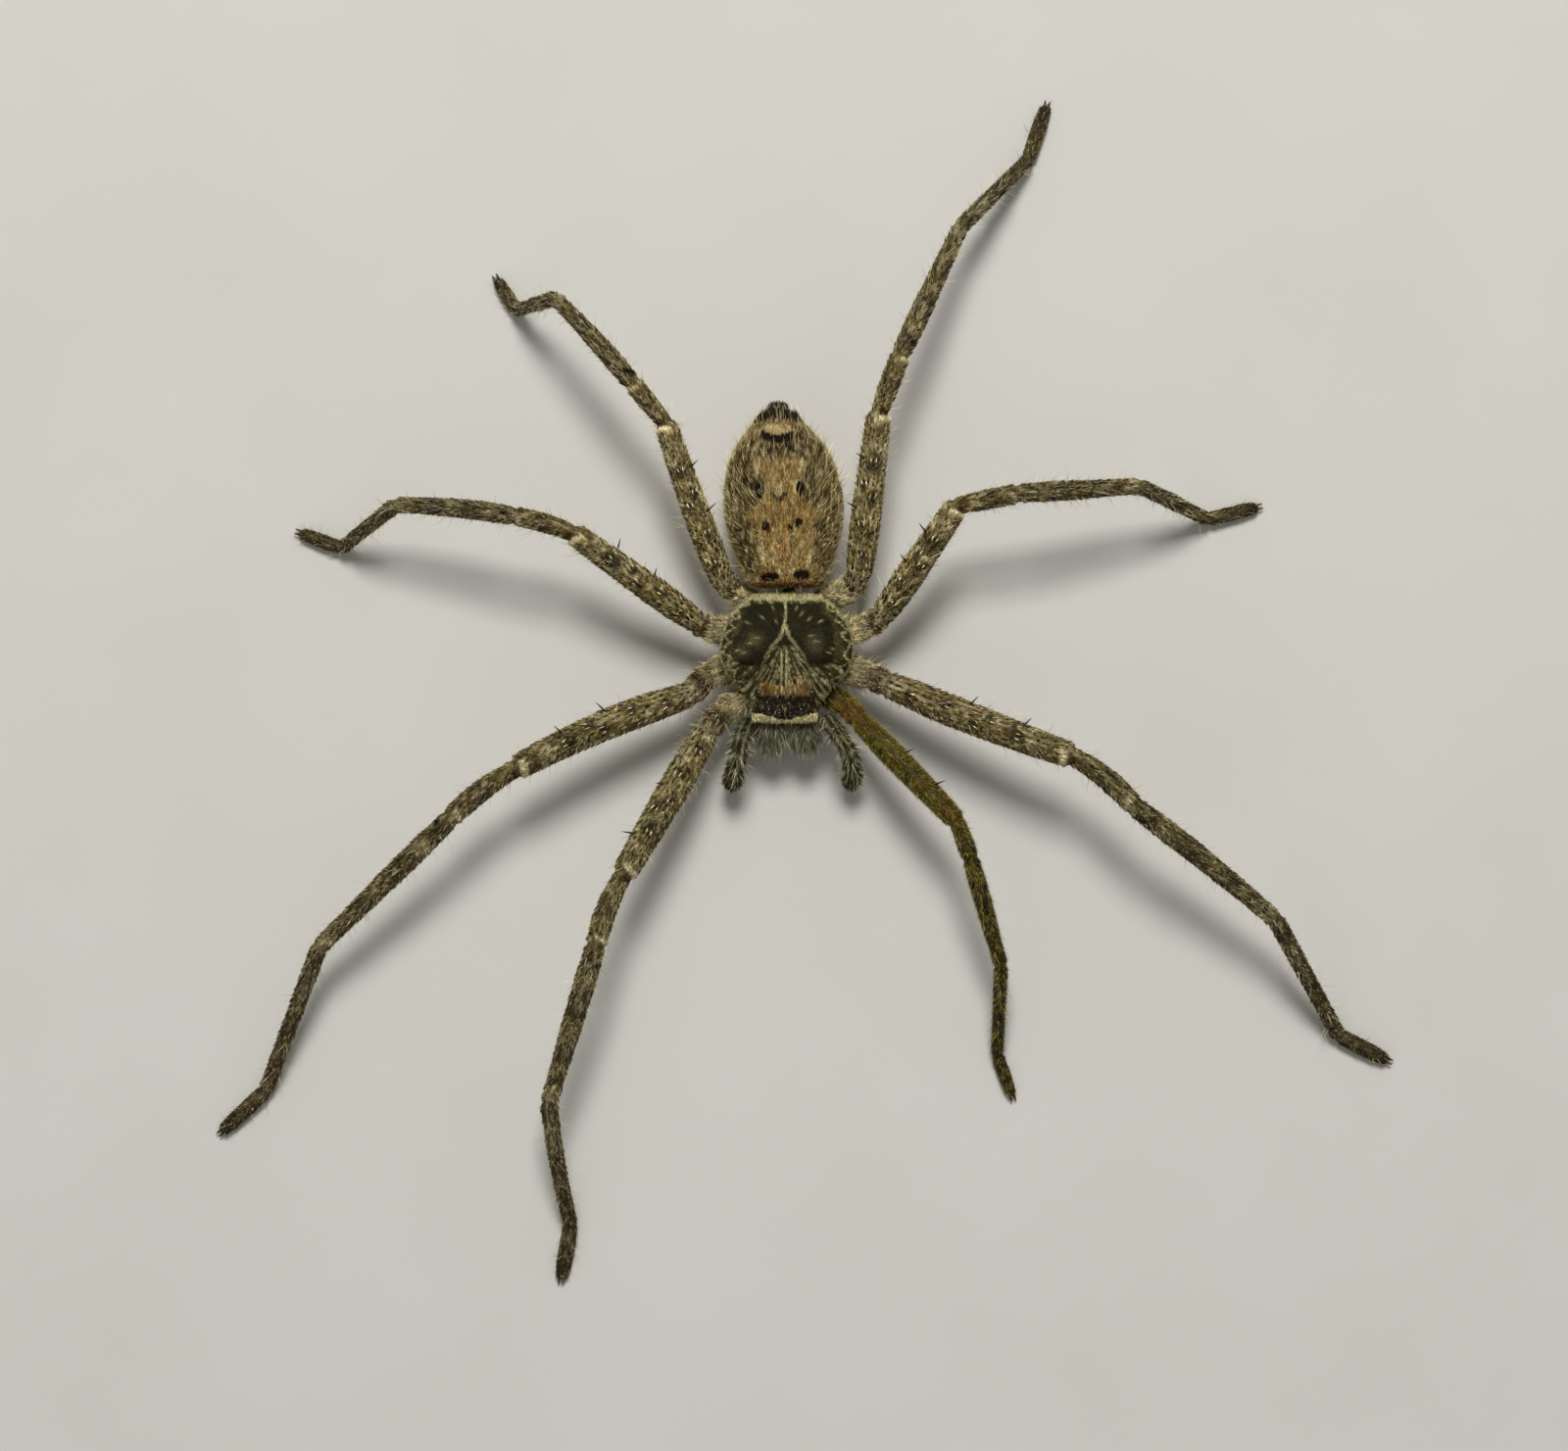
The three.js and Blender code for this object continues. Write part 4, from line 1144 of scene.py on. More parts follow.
def shellSurface(u, v):
    end = 0.035      # the share of v that rounds the front or rear edge
    k = circle(1 - least(held(v / end), held((1 - v) / end)))
    bow = shell["edgeRound"] * (1 - circle(k))
    w = held((v - end) / (1 - 2 * end))
    first, last = shell["front"] + shell["edgeRound"], shell["rear"] - shell["edgeRound"]
    y = first + (last - first) * (w * 0.6 + 0.4 * (1 - np.cos(math.pi * w)) / 2)
    y = np.where(v < end, shell["front"] + bow, np.where(v > 1 - end, shell["rear"] - bow, y))
    angle = turnOf(u)
    x = midline(y) + (shellHalfWidth(y) - 0.04) * np.cos(angle) * k
    height = shellHeight(midline(y) + shellHalfWidth(y) * np.cos(angle), y) - shell["inset"]
    middle = shell["underside"] + 0.1 + 0.06 * np.abs(np.cos(angle)) ** 4
    top = middle + (height - middle + shellRelief(x, y)) * k
    low = middle - 0.06 * k * np.abs(np.sin(angle))
    points = np.stack([x, y, np.where(np.sin(angle) >= 0, top, low)], axis=1)
    return points, points + (0, 700, 0)


def shellMarks(u, v, points, lay):
    x, y, z = points.T
    centreX, centreY = shell["whorl"][:2]
    sideways = np.abs(x - midline(y))
    margin = least(shellHalfWidth(y) - sideways, shell["rear"] - y)
    turn, away = np.arctan2(x - centreX, y - centreY), np.hypot(x - centreX, y - centreY)
    rays = cloud(np.stack([turn * 3, away, np.zeros(len(x))], axis=1), (0.11, 0.9, 1), 11)
    fine = cloud(lay, (0.13, 0.13, 0.13), 12)
    blot = cloud(lay, (0.5, 0.5, 0.8), 13)
    inside = ramp(armSide(x, y), 0.0, 0.12)

    def spot(spotX, spotY, wide=1, long=1, width=1):
        return hill(np.hypot((x - spotX) / wide, (y - spotY) / long), width)

    # two dark olive fields with faint grey clouds and pale specks
    ragged = 0.35 * (blot - 0.5) + 0.2 * (fine - 0.5)
    field = ramp(least(x - straight(y, fieldLeft), straight(y, fieldRight) - x) + ragged, -0.1, 0.3)
    field = field * ramp(y + ragged, 4.05, 4.45) * fall(y, 9.0, 9.3) * (1 - inside)
    clouds = spot(2.1, 6.0, 0.6, 0.8) + spot(-2.5, 6.3, width=0.6) + spot(-3.4, 5.5, width=0.5)
    deep = spot(-2.96, 4.5, 0.7, 0.4) + spot(2.8, 4.6, 0.7, 0.4)
    dark = 0.8 + 0.2 * deep - 0.35 * clouds * ramp(blot, 0.3, 0.7) - 0.2 * (rays - 0.5)
    dark = field * held(dark)
    specks = 0
    for sx, sy in paleSpecks:
        outX, outY = unit(np.array([sx - centreX, sy - centreY]))
        ahead, aside = (x - sx) * outX + (y - sy) * outY, (x - sx) * outY - (y - sy) * outX
        specks = specks + hill(np.hypot(ahead / 0.2, aside / 0.07))
    pale = field * held(0.6 * specks + 0.12 * clouds)

    # between the arms: a dark wedge, and below it fine pale streaks fanning forward
    wedge = ramp(7.15 - y, 0, 0.3) * ramp(y, 5.5, 6.0) * inside
    dark = most(dark, 0.85 * wedge)
    dark = most(dark, inside * (1 - wedge) * 0.8 * fall(rays, 0.42, 0.6))
    pale = most(pale, inside * (1 - wedge) * 0.62 * ramp(rays, 0.5, 0.74) * ramp(fine, 0.25, 0.5))
    line = ramp(y, 2.1, 2.4) * fall(y, 5.3, 5.7)
    pair = least(np.abs(x + 0.42), np.abs(x + 0.03))
    pale = most(pale, 0.9 * fall(pair, 0.04, 0.1) * line)
    between = 0.95 * fall(np.abs(x + 0.22), 0.06, 0.12) * line
    dark = most(dark * (1 - 0.7 * (pair < 0.1) * line), between)
    bright = np.interp(y, (2.9, 4.6, 5.4, 6.2, 7.0), (0.12, 0.22, 0.36, 0.6, 0.75))
    arm = bright * fall(fromArms(x, y) + 0.1 * (fine - 0.5), 0.07, 0.16) * ramp(y, 2.9, 3.4)
    arm = most(arm, 0.9 * fall(np.abs(x + 0.1), 0.04, 0.1) * ramp(y, 7.5, 7.8))
    pale = most(pale, arm)

    # front slopes: olive brown with pale dashes in rows that run forward
    slopes = (1 - inside) * (1 - field) * fall(y, 4.6, 5.2)
    dark = most(dark, slopes * 0.62 * fall(rays, 0.4, 0.6))
    pale = most(pale, slopes * 0.6 * ramp(rays, 0.52, 0.7) * ramp(blot, 0.25, 0.5))

    # the rim: a broad cream band behind, and pale loops along both sides
    edge = np.interp(sideways, (0, 2.4, 3.6), (0.58, 0.5, 0.22)) + 0.16 * (fine - 0.5)
    band = fall(margin, edge, edge + 0.1) * ramp(y, 7.3, 8.3)
    scallop = 0.5 + 0.5 * np.cos(turn * 24 + 3 * blot)
    loops = hill(margin - 0.2 - 0.5 * scallop, 0.11) * (0.5 + 0.5 * ramp(fine, 0.2, 0.5))
    loops = most(loops * fall(margin, 0.75, 0.95), fall(margin, 0.06, 0.13))
    loops = loops * ramp(y, 2.2, 4.0) * (1 - band)
    dark = most(dark, 0.55 * ramp(y, 2.6, 3.6) * fall(margin, 0.6, 0.9) * (1 - band))
    pale = most(pale, most(0.85 * band, 0.85 * loops))
    dark = dark * (1 - 0.85 * most(band, loops))

    # the face: clypeus, the dark patch of the eyes, and the orange tufts behind it
    front = straight(x, clypeusTop)
    clypeus = fall(y, front - 0.06, front + 0.05)
    pale = most(pale * ramp(y, front, front + 0.3), clypeus * (0.75 + 0.5 * (fine - 0.5)))
    patch = ramp(y, front, front + 0.08) * fall(y, 2.0 + 0.12 * fine, 2.16 + 0.12 * fine)
    patch = patch * fall(sideways, 2.15, 2.45)
    warmEdge = 3.05 + 0.9 * (rays - 0.5) - 0.1 * np.cos(x * 2.2)
    warm = ramp(y, 2.0, 2.15) * fall(y, warmEdge - 0.35, warmEdge + 0.2)
    warm = warm * fall(sideways, 1.85, 2.05) * (0.7 + 0.6 * (blot - 0.5))
    tuft = fall(np.hypot(x - midline(y), y - 1.05), 0.1, 0.2)
    warm = most(warm, 0.8 * tuft)
    gleam = ramp(fine, 0.6, 0.85) * ramp(blot, 0.3, 0.6)
    dark = most(dark * (1 - warm * 0.85), patch * (1 - tuft)) * (1 - clypeus)
    dark = np.where((z < shell["underside"] + 0.2) * (np.sin(turnOf(u)) < 0), 0.4, dark)
    pale = pale * (1 - patch) * (1 - tuft) * (1 - 0.6 * warm) + 0.35 * warm * ramp(fine, 0.5, 0.8)
    return {"dark": held(dark * (1 - patch * (0.75 + 0.2 * gleam))),
            "pale": held(pale + 0.28 * patch * gleam), "warm": held(warm),
            "tan": held(patch * (1 - tuft))}


def shellLie(points):
    # away from the whorl, and nearly level
    return (points - np.array(shell["whorl"])) * (1, 1, 0.3)


def shellFur(v, points):
    # shorter on the face
    return 1 - 0.35 * fall(points[:, 1], 2.0, 3.6)


def clearOfEyes(found):
    free = np.ones(len(found["u"]))
    for name, centre, radius in eyePlaces():
        away = np.linalg.norm(found["points"] - centre, axis=1)
        free = free * (away > radius + 0.04)
    return free


shellCoat = {"hairs": 27000, "length": 0.25, "width": 0.05, "longHairs": 1560}


def makeShell():
    material = coatedCuticle("hairyShieldCuticle", "#746a3e #544b26 #443e1c", (0.07, 0.2),
                             bump=0.015, warm="#be9254", dark="#181604", pale="#ded49e",
                             tan="#3c2d20")
    form = formOf(shellSurface, shellMarks, shellLie, shellFur)
    settle(makeSkin("skin_carapace", form, shell["columns"], shell["rows"]), material,
           "carapace_cuticle", ["carapace"])
    onTop = lambda found: clearOfEyes(found) * (found["normal"][:, 2] > -0.3)
    backOf = lambda found, y: onTop(found) * (found["points"][:, 1] > y)
    frontOf = lambda found, y: onTop(found) * (found["points"][:, 1] < y)
    cream = lambda found: ramp(found["pale"], 0.5, 0.8)
    behind = lambda found: 0.6 * cream(found) * backOf(found, 1)
    lip = lambda found: cream(found) * frontOf(found, 0.8)
    orange = lambda found: ramp(found["warm"], 0.5, 0.75) * backOf(found, 1.9)
    face = lambda found: 0.4 * frontOf(found, 3.4)
    settle(makeCoat("coat_carapace", form, [
        hairs(shellCoat["hairs"], shellCoat["length"], shellCoat["width"], 15, 6, 10, where=onTop),
        hairs(30000, 0.36, 0.055, 24, 9, 20, where=behind, clump=(0.16, 0.16, 0.16)),
        hairs(40000, 0.42, 0.055, 24, 8, 14, where=lip, clump=(0.16, 0.16, 0.16), differ=0.7,
              tone=1.4, pale=1),
        hairs(60000, 0.62, 0.05, 30, 9, 9, where=orange, clump=(0.12, 1.2, 0.5), differ=1.5,
              tone=1.15),
        hairs(shellCoat["longHairs"], 0.7, 0.03, 60, 12, 25, bend=20, where=face, pale=0.7,
              dark=0.1),
    ], 201), material, "carapace_cuticle")
    lens = materialOf("polishedLensCuticle", polishedLens)
    for name, centre, radius in eyePlaces():
        settle(makeSkin(f"lens_{name}", ballForm(centre, (radius,) * 3), 32, 20), lens, "eye_lens",
               [name])
    print("shield: skin, coat and eight eyes")


# Abdomen

belly = {
    "front": 10.32,
    "rear": 23.55,
    "halfWidth": ((10.3, 2.55), (10.9, 3.15), (13, 3.94), (14.8, 4.42), (16.9, 4.62), (19.4, 4.24),
                  (21, 3.56), (22.4, 2.5), (23.2, 1.65), (23.6, 0.9)),
    "top": ((10.3, 6.9), (11.5, 8), (14, 8.85), (17, 9.05), (20, 8.5), (22.3, 7.3), (23.2, 6.6),
            (23.6, 6)),
    "underside": ((10.3, 4.9), (12, 3.3), (15, 2.35), (18, 2.2), (21, 2.8), (22.6, 3.7), (23.6, 4.8)),
    "inset": 0.12,
    "frontRound": 0.25,
    "rearRound": 0.3,
    "spotDepth": 0.07,
    "stalk": ((0, 9.2, 4.5), (0, 12, 5.4)),
    "stalkRadii": (0.66, 0.58, 0.66),
    "columns": 140,
    "rows": 170,
}
bellyHalfWidth = through(belly["halfWidth"])
bellyTop, bellyUnder = through(belly["top"]), through(belly["underside"])
# Dark spots of the back: x, y, half width, half length, strength
backSpots = [
    (-2.09, 17.58, 0.33, 0.5, 1.0), (0.98, 17.8, 0.3, 0.48, 1.0), (-1.62, 14.92, 0.26, 0.32, 0.95),
    (0.88, 15.18, 0.27, 0.26, 1.0), (0.2, 14.82, 0.2, 0.17, 0.75), (-0.9, 15.05, 0.17, 0.25, 0.5),
    (-1.25, 11.15, 0.72, 0.22, 1.0), (1.08, 11.32, 0.62, 0.27, 1.0), (2.86, 11.23, 0.2, 0.2, 0.7),
    (-2.9, 14.9, 0.55, 0.4, 0.55), (2.5, 15.0, 0.5, 0.4, 0.6), (-2.6, 16.8, 0.3, 0.5, 0.55),
    (-2.6, 18.4, 0.35, 0.6, 0.5), (2.0, 17.2, 0.3, 0.6, 0.5), (1.9, 19.0, 0.4, 0.5, 0.5),
]
# Half width of the tan middle of the back along y, left and right of the midline
tanLeft = through([(10.2, 2.6), (11.2, 2.5), (12.4, 2.0), (13.6, 2.0), (14.5, 2.4), (15.3, 3.0),
                   (16.2, 2.7), (16.9, 1.7), (18.0, 1.5), (19.0, 1.9), (19.8, 2.0), (20.3, 1.2),
                   (20.8, 0.2)])
tanRight = through([(10.2, 2.5), (11.2, 2.4), (12.4, 2.1), (13.6, 2.2), (14.5, 2.5), (15.6, 2.9),
                    (16.3, 2.5), (17.0, 1.6), (18.2, 1.3), (19.0, 1.5), (19.8, 1.7), (20.3, 1.0),
                    (20.8, 0.2)])
# Pale streaks of the back, and the small dark V between the first spots
paleLines = (((-2.35, 19.7), (-2.2, 18.9)), ((0.98, 19.9), (0.85, 19.0)), ((-1.7, 17.9), (-1.6, 17.2)),
             ((0.6, 18.2), (0.55, 17.5)), ((-0.6, 17.3), (-0.58, 18.0)), ((-0.42, 11.0), (-0.75, 11.7)),
             ((0.25, 11.1), (0.6, 11.5)), ((-0.7, 11.9), (-1.3, 13.2)), ((0.2, 11.9), (1.2, 13.3)),
             ((-1.7, 11.9), (-2.1, 13.0)), ((1.6, 12.0), (2.0, 13.2)))
smallV = ((-1.0, 17.3), (-0.6, 16.8), (-0.16, 17.3))


def bellySurface(u, v):
    end = 0.05       # the share of v that rounds the front or rear end
    k = circle(1 - held(least(v, 1 - v) / end))
    front, rear, inset = belly["front"], belly["rear"], belly["inset"]
    first, last = front + belly["frontRound"], rear - belly["rearRound"]
    w = held((v - end) / (1 - 2 * end))
    y = first + (last - first) * (w * 0.75 + 0.25 * (1 - np.cos(math.pi * w)) / 2)
    y = np.where(v < end, front + belly["frontRound"] * (1 - circle(k)), y)
    y = np.where(v > 1 - end, rear - belly["rearRound"] * (1 - circle(k)), y)
    angle = turnOf(u)
    low, high = bellyUnder(y) + inset, bellyTop(y) - inset
    x = midline(y) + (bellyHalfWidth(y) - inset) * squarer(np.cos(angle), 0.95) * k
    z = (low + high) / 2 + (high - low) / 2 * squarer(np.sin(angle), 0.95) * k
    back = ramp(np.sin(angle), 0.2, 0.7)
    for spotX, spotY, wide, long, strength in backSpots:
        away = np.hypot((x - spotX) / wide, (y - spotY) / long)
        z = z - belly["spotDepth"] * strength * back * hill(away, 1.1)
    points = np.stack([x, y, z], axis=1)
    return points, points + (0, 900, 0)


def bellyMarks(u, v, points, lay):
    x, y, z = points.T
    shift = [cloud(lay, (0.7, 0.7, 0.7), seed) for seed in (31, 32)]
    warp = lay + np.stack([*shift, np.zeros(len(x))], axis=1) * (0.7, 0.9, 0) - (0.35, 0.45, 0)
    wx, wy = warp[:, 0], warp[:, 1] - 900
    off = wx - midline(wy)
    back = ramp(z - (bellyTop(y) + bellyUnder(y)) / 2, -0.2, 1.4)
    streak, mottle = cloud(lay, (0.13, 0.6, 0.3), 33), cloud(lay, (0.45, 0.8, 0.6), 34)
    reach = np.where(off < 0, tanLeft(wy), tanRight(wy)) + 0.9 * (streak - 0.5)
    tan = fall(np.abs(off), reach - 0.45, reach + 0.35) * (wy < 20.9) * back

    # the pale half moon near the tip, and the dark crescent before it
    moonX = x + 0.7
    rise = 0.16 * moonX ** 2
    half = ramp(y - 21.86 - rise, -0.04, 0.08) * fall(y + 0.5 * rise, 22.5, 22.75)
    half = half * fall(np.abs(moonX), 0.9, 1.1) * back
    crescent = fall(np.abs(y - 21.6 - 1.4 * rise), 0.15, 0.29)
    crescent = crescent * fall(np.abs(moonX), 1.05, 1.4) * back

    # darker sides and a dark field behind the tan middle, with pale and dark streaks over all
    field = hill((wy - 20.9) / 0.85) * hill((off - 0.1) / 1.9) * 0.85
    sides = back * (1 - tan) * (0.3 + 0.22 * ramp(mottle, 0.3, 0.7)) * (wy < 22.2)
    dark = most(sides * (1 - 0.35 * ramp(off, 1, 3)), field)
    dark = dark + (0.38 - 0.1 * tan) * ramp(streak, 0.5, 0.75) + 0.2 * tan * ramp(mottle, 0.5, 0.75)
    pale = (0.55 - 0.15 * tan) * ramp(streak, 0.42, 0.2) * (0.45 + 0.55 * mottle)
    pale = pale + (1 - back) * (0.25 + 0.4 * ramp(mottle, 0.3, 0.7))
    for line in paleLines:
        pale = most(pale, 0.6 * back * fall(lineDistance(wx, wy, line), 0.06, 0.26))
    ink = 0
    for spotX, spotY, wide, long, strength in backSpots:
        ring = np.hypot((x - spotX) / wide, (y - spotY) / long) + 0.5 * (streak - 0.5)
        spot = back * strength * fall(ring, 0.8, 1.3)
        dark, ink = most(dark, spot), most(ink, spot)
        pale = pale * (1 - spot)
    dark = most(dark, 0.95 * back * fall(lineDistance(x, y, smallV), 0.13, 0.28))

    # the black tip, and warm hair along the heart, at the waist and behind the half moon
    cap = ramp(y - 0.15 * (x + 0.6), 23.05, 23.4)
    dark = most(dark * (1 - half) * (1 - 0.5 * (pale > 0.5)), most(crescent, 0.95 * cap))
    pale = most(pale * (1 - cap) * (1 - half), half * (0.45 + 0.4 * streak))
    pale = pale * (1 - crescent) * (1 - cap)
    smooth = fall(y, 10.5, 10.8)
    warm = 0.35 * hill((x + 0.3) / 0.4) * ramp(y, 12.4, 13.4) * fall(y, 14.8, 15.6) * back
    behind = 0.8 * hill(np.hypot((x + 0.65) / 0.8, (y - 22.9) / 0.22)) * back
    warm = most(most(warm, smooth), behind) * (1 - cap)
    return {"dark": held(dark * (1 - smooth) + 0.45 * smooth), "pale": held(pale * (1 - smooth)),
            "warm": held(warm), "tan": held(0.85 * tan + half), "moon": half,
            "ink": most(ramp(ink, 0.55, 0.85), ramp(most(crescent, cap), 0.4, 0.8))}


def bellyLie(points):
    # back, at first away from the midline and then toward it, and rising at the front end
    x, y, z = points.T
    off = (x - midline(y)) / 4.6
    later = ramp(y, 17, 22)
    return np.stack([0.35 * off * (1 - later) - 0.5 * off * later, np.ones(len(x)),
                     0.4 * fall(y, 10.4, 11.5)], axis=1)


bellyCoat = {"hairs": 44000, "length": 0.37, "width": 0.06, "longHairs": 1100}


def makeBelly():
    material = coatedCuticle("softHairySkin", "#8a7443 #65522c #765f35", (0.06, 0.42), deep=0.42,
                             tan="#a6864a", warm="#94673c", dark="#211504", pale="#d8c996")
    form = formOf(bellySurface, bellyMarks, bellyLie)
    skin = makeSkin("skin_abdomen", form, belly["columns"], belly["rows"])
    stalk = limbOf(np.array(belly["stalk"], float), [belly["stalkRadii"]], bend=0)
    stalk = makeSkin("pedicel", limbForm(stalk, evenMarks(dark=0.45, warm=0.4), seed=20), 24, 20)
    settle(joinPieces("skin_abdomen", [skin, stalk]), material, "abdomen_skin", ["abdomen"])
    upper = lambda found: 0.45 + 0.55 * ramp(found["normal"][:, 2], -0.5, 0.2)
    lighter = lambda found: 0.45 * upper(found) * fall(found["dark"], 0.5, 0.8)
    inked = lambda found: found["ink"]
    moon = lambda found: found["moon"] * (1 - found["ink"])
    rearHalf = lambda found: 0.25 + 0.75 * ramp(found["points"][:, 1], 15, 18)
    tip = lambda found: ramp(found["points"][:, 1], 22.8, 23.2)
    nearTip = lambda found: np.abs(found["points"][:, 0] - midline(23.4) - 0.1) < 0.16
    # painted highlight: white hairs on the upper side of the black tip stand in for glints of light on
    # its black hairs
    paintedGlintTuft = lambda found: tip(found) * nearTip(found) * (found["normal"][:, 2] > 0.1)
    black = {"pale": 0, "tan": 0, "warm": 0}
    settle(makeCoat("coat_abdomen", form, [
        hairs(bellyCoat["hairs"], bellyCoat["length"], bellyCoat["width"], 13, 6, 9, where=upper,
              clump=(0.09, 0.5, 0.09), differ=1.25),
        hairs(9000, 0.5, 0.034, 32, 9, 14, where=lighter, pale=0.8, dark=0, tone=1.1),
        hairs(110000, 0.38, 0.075, 26, 6, 10, where=inked, sunk=-0.02, dark=1, tone=0.55, **black),
        hairs(60000, 0.42, 0.06, 24, 6, 9, where=moon, dark=0, pale=0.45, tone=1.35),
    ], 301), material, "abdomen_skin")
    settle(makeCoat("bristles_abdomen", form, [
        hairs(bellyCoat["longHairs"], 1.25, 0.036, 50, 12, 18, bend=14, where=rearHalf, pale=0.95,
              dark=0, tone=1.2),
        hairs(60000, 0.85, 0.055, 24, 8, 12, where=tip, dark=0.92, **black),
        # the white hairs of the painted highlight on the black tip
        hairs(9000, 0.8, 0.05, 30, 5, 8, where=paintedGlintTuft, dark=0, pale=1, warm=0, tone=1.4),
    ], 302), material, "abdomen_skin")
    print("abdomen: skin, coat and bristles")


# Spinning organs

spinning = {   # (y, z) of both ends and the radii; pairs stand sideways by the first number of
    # their spread, and the second is how much further out their ends are
    "base": {"ends": ((23.7, 5.1), (24.12, 5.1)), "radii": (0.7, 0.72, 0.62)},
    "lower": {"spread": (0.36, 0.12), "ends": ((23.95, 4.85), (24.4, 4.2)),
              "radii": (0.3, 0.29, 0.24, 0.12)},
    "upper": {"spread": (0.26, 0.1), "ends": ((23.95, 5.2), (24.4, 4.95)),
              "radii": (0.24, 0.23, 0.19, 0.1)},
    "tubercle": {"ends": ((23.95, 5.42), (24.42, 5.5)), "radii": (0.34, 0.32, 0.24, 0.12)},
}


def makeSpinnerets():
    material = coatedCuticle("softDarkSkin", "#4a4638 #38352b #2d2a22", (0.06, 0.2),
                             warm="#5c4a30", dark="#17150f", pale="#b4ac8e")
    forms, skins = {}, []
    middle = float(midline(24.2))
    for name, part in spinning.items():
        sideways, splay = part.get("spread", (0, 0))
        for letter, side in (hands if sideways else {"m": 0}).items():
            near, key = middle + side * sideways, f"{name}_{letter}"
            ends = [(near, *part["ends"][0]), (near + side * splay, *part["ends"][1])]
            limb = limbOf(np.array(ends), [part["radii"]], bend=0, caps=(0.1, 0.12))
            forms[key] = limbForm(limb, evenMarks(dark=0.6), seed=40 + len(forms))
            skins.append(makeSkin(f"spinneret_{key}", forms[key], 28, 16))
    settle(joinPieces("skin_spinnerets", skins), material, "spinneret_skin", ["spinnerets"])
    layers = [hairs(500, 0.32, 0.04, 20, 9, 14, on=name) for name in forms]
    # painted highlight: a few white hairs on the middle tubercle stand in for glints of light on the
    # black tuft
    layers.append(hairs(40, 0.42, 0.06, 22, 9, 10, on="tubercle_m", pale=1, dark=0, tone=1.5))
    settle(makeCoat("coat_spinnerets", forms, layers, 401), material, "spinneret_skin")
    print("spinning organs: skin and coat")


# Jaws, fangs and mouth

jaw = {
    "middle": 0.1,
    "sideways": (1.122, 1.32),                 # from the middle, at the root and at the tip
    "from": (1.2, 4.65),
    "to": (-1.75, 2.9),
    "radii": (0.8, 1.02, 1.16, 1.17, 1.12, 0.98, 0.74),
    "inset": 0.09,
    "inner": 0.17,
    "fang": ((1.4, -1.3, 3.05), (1.55, -2.35, 1.6), (0.45, -1.2, 1.65)),
    "fangRadii": (0.34, 0.34, 0.29, 0.2, 0.1, 0.02),
    "fringe": 3600,
}


def makeJaws():
    material = coatedCuticle("hairyJawCuticle", "#55513a #3a3727 #2d2b1e", (0.09, 0.4),
                             warm="#5e4a34", dark="#11100b", pale="#b8b494")
    for letter, side in hands.items():
        def place(spot):
            return np.array((side * spot[0] + jaw["middle"], *spot[1:]))

        def keptApart(points):
            reach = most(side * (points[:, 0] - jaw["middle"]), jaw["inner"])
            points[:, 0] = side * reach + jaw["middle"]
            return points

        def marks(q, angle, lay):
            # darker at the root, pale streaks on the upper face
            top, fine = held(np.sin(angle)), cloud(lay, (0.1, 0.6, 0.1), 51)
            dark = 0.75 - 0.5 * top * ramp(q, 0.4, 1.1)
            return {"dark": held(dark + 0.3 * (fine - 0.5)),
                    "pale": top * ramp(q, 1.2, 2.4) * 0.35 * ramp(fine, 0.4, 0.7)}
        ends = [place((out, *jaw[end])) for out, end in zip(jaw["sideways"], ("from", "to"))]
        limb = limbOf(np.array(ends), [jaw["radii"]], inset=jaw["inset"], bend=0,
                      caps=(0.35, 0.45))
        form = limbForm(limb, marks, shape=keptApart, seed=50 + side)
        settle(makeSkin(f"skin_chelicera_{letter}", form, 44, 46), material, "jaw_cuticle",
               [f"chelicera_{letter}"])
        face = lambda found: ramp(found["normal"][:, 2], -0.1, 0.5) * ramp(found["v"], 0.12, 0.3)
        tips = lambda found: face(found) * ramp(found["v"], 0.5, 0.8)
        settle(makeCoat(f"coat_chelicera_{letter}", form, [
            hairs(5200, 0.42, 0.055, 20, 8, 12),
            hairs(jaw["fringe"], 1.0, 0.06, 26, 8, 17, bend=10, where=face, clump=(0.22, 1.2, 0.22),
                  pale=0.4, dark=0.15, tone=0.72, differ=1.2),
            hairs(800, 1.35, 0.045, 30, 8, 13, bend=10, where=face, clump=(0.2, 1.2, 0.2),
                  pale=0.95, dark=0, tone=1.15),
            hairs(130, 2.2, 0.05, 28, 8, 12, bend=16, where=tips, pale=1, dark=0, tone=1.3),
        ], 500 + side), material, "jaw_cuticle")
        line = curve(*(place(spot) for spot in jaw["fang"]), 16)
        settle(horns(f"fang_{letter}", [line], jaw["fangRadii"], 14), horn, "jaw_cuticle")
    print("jaws: skins, fringes and fangs")


underneath = {
    "front": 1.78,
    "rear": 9.27,
    "top": 5.4,
    "halfWidth": ((1.75, 1.3), (2.6, 1.6), (4.6, 2.3), (6.6, 2.3), (8.2, 1.6), (9.3, 0.8)),
    "low": ((1.75, 2.7), (3.5, 2.8), (6.5, 2.85), (9.3, 3.4)),
    "inset": 0.08,
    "squareness": 0.55,
    "flank": {"front": 0.9, "length": 8.5, "share": 0.8, "height": 5.3, "rise": 0.62},
}
mouth = {
    "base": {"centre": (0, 1.06, 2.62), "size": (1.4, 0.37, 0.47)},
    "lip": {"centre": (0, 0.75, 2.15), "size": (0.46, 0.58, 0.38)},
    "lobe": {"centre": (1.1, 0.68, 1.98), "size": (0.48, 0.86, 0.38), "tilt": 24},
}
plateHalfWidth, plateLow = through(underneath["halfWidth"]), through(underneath["low"])


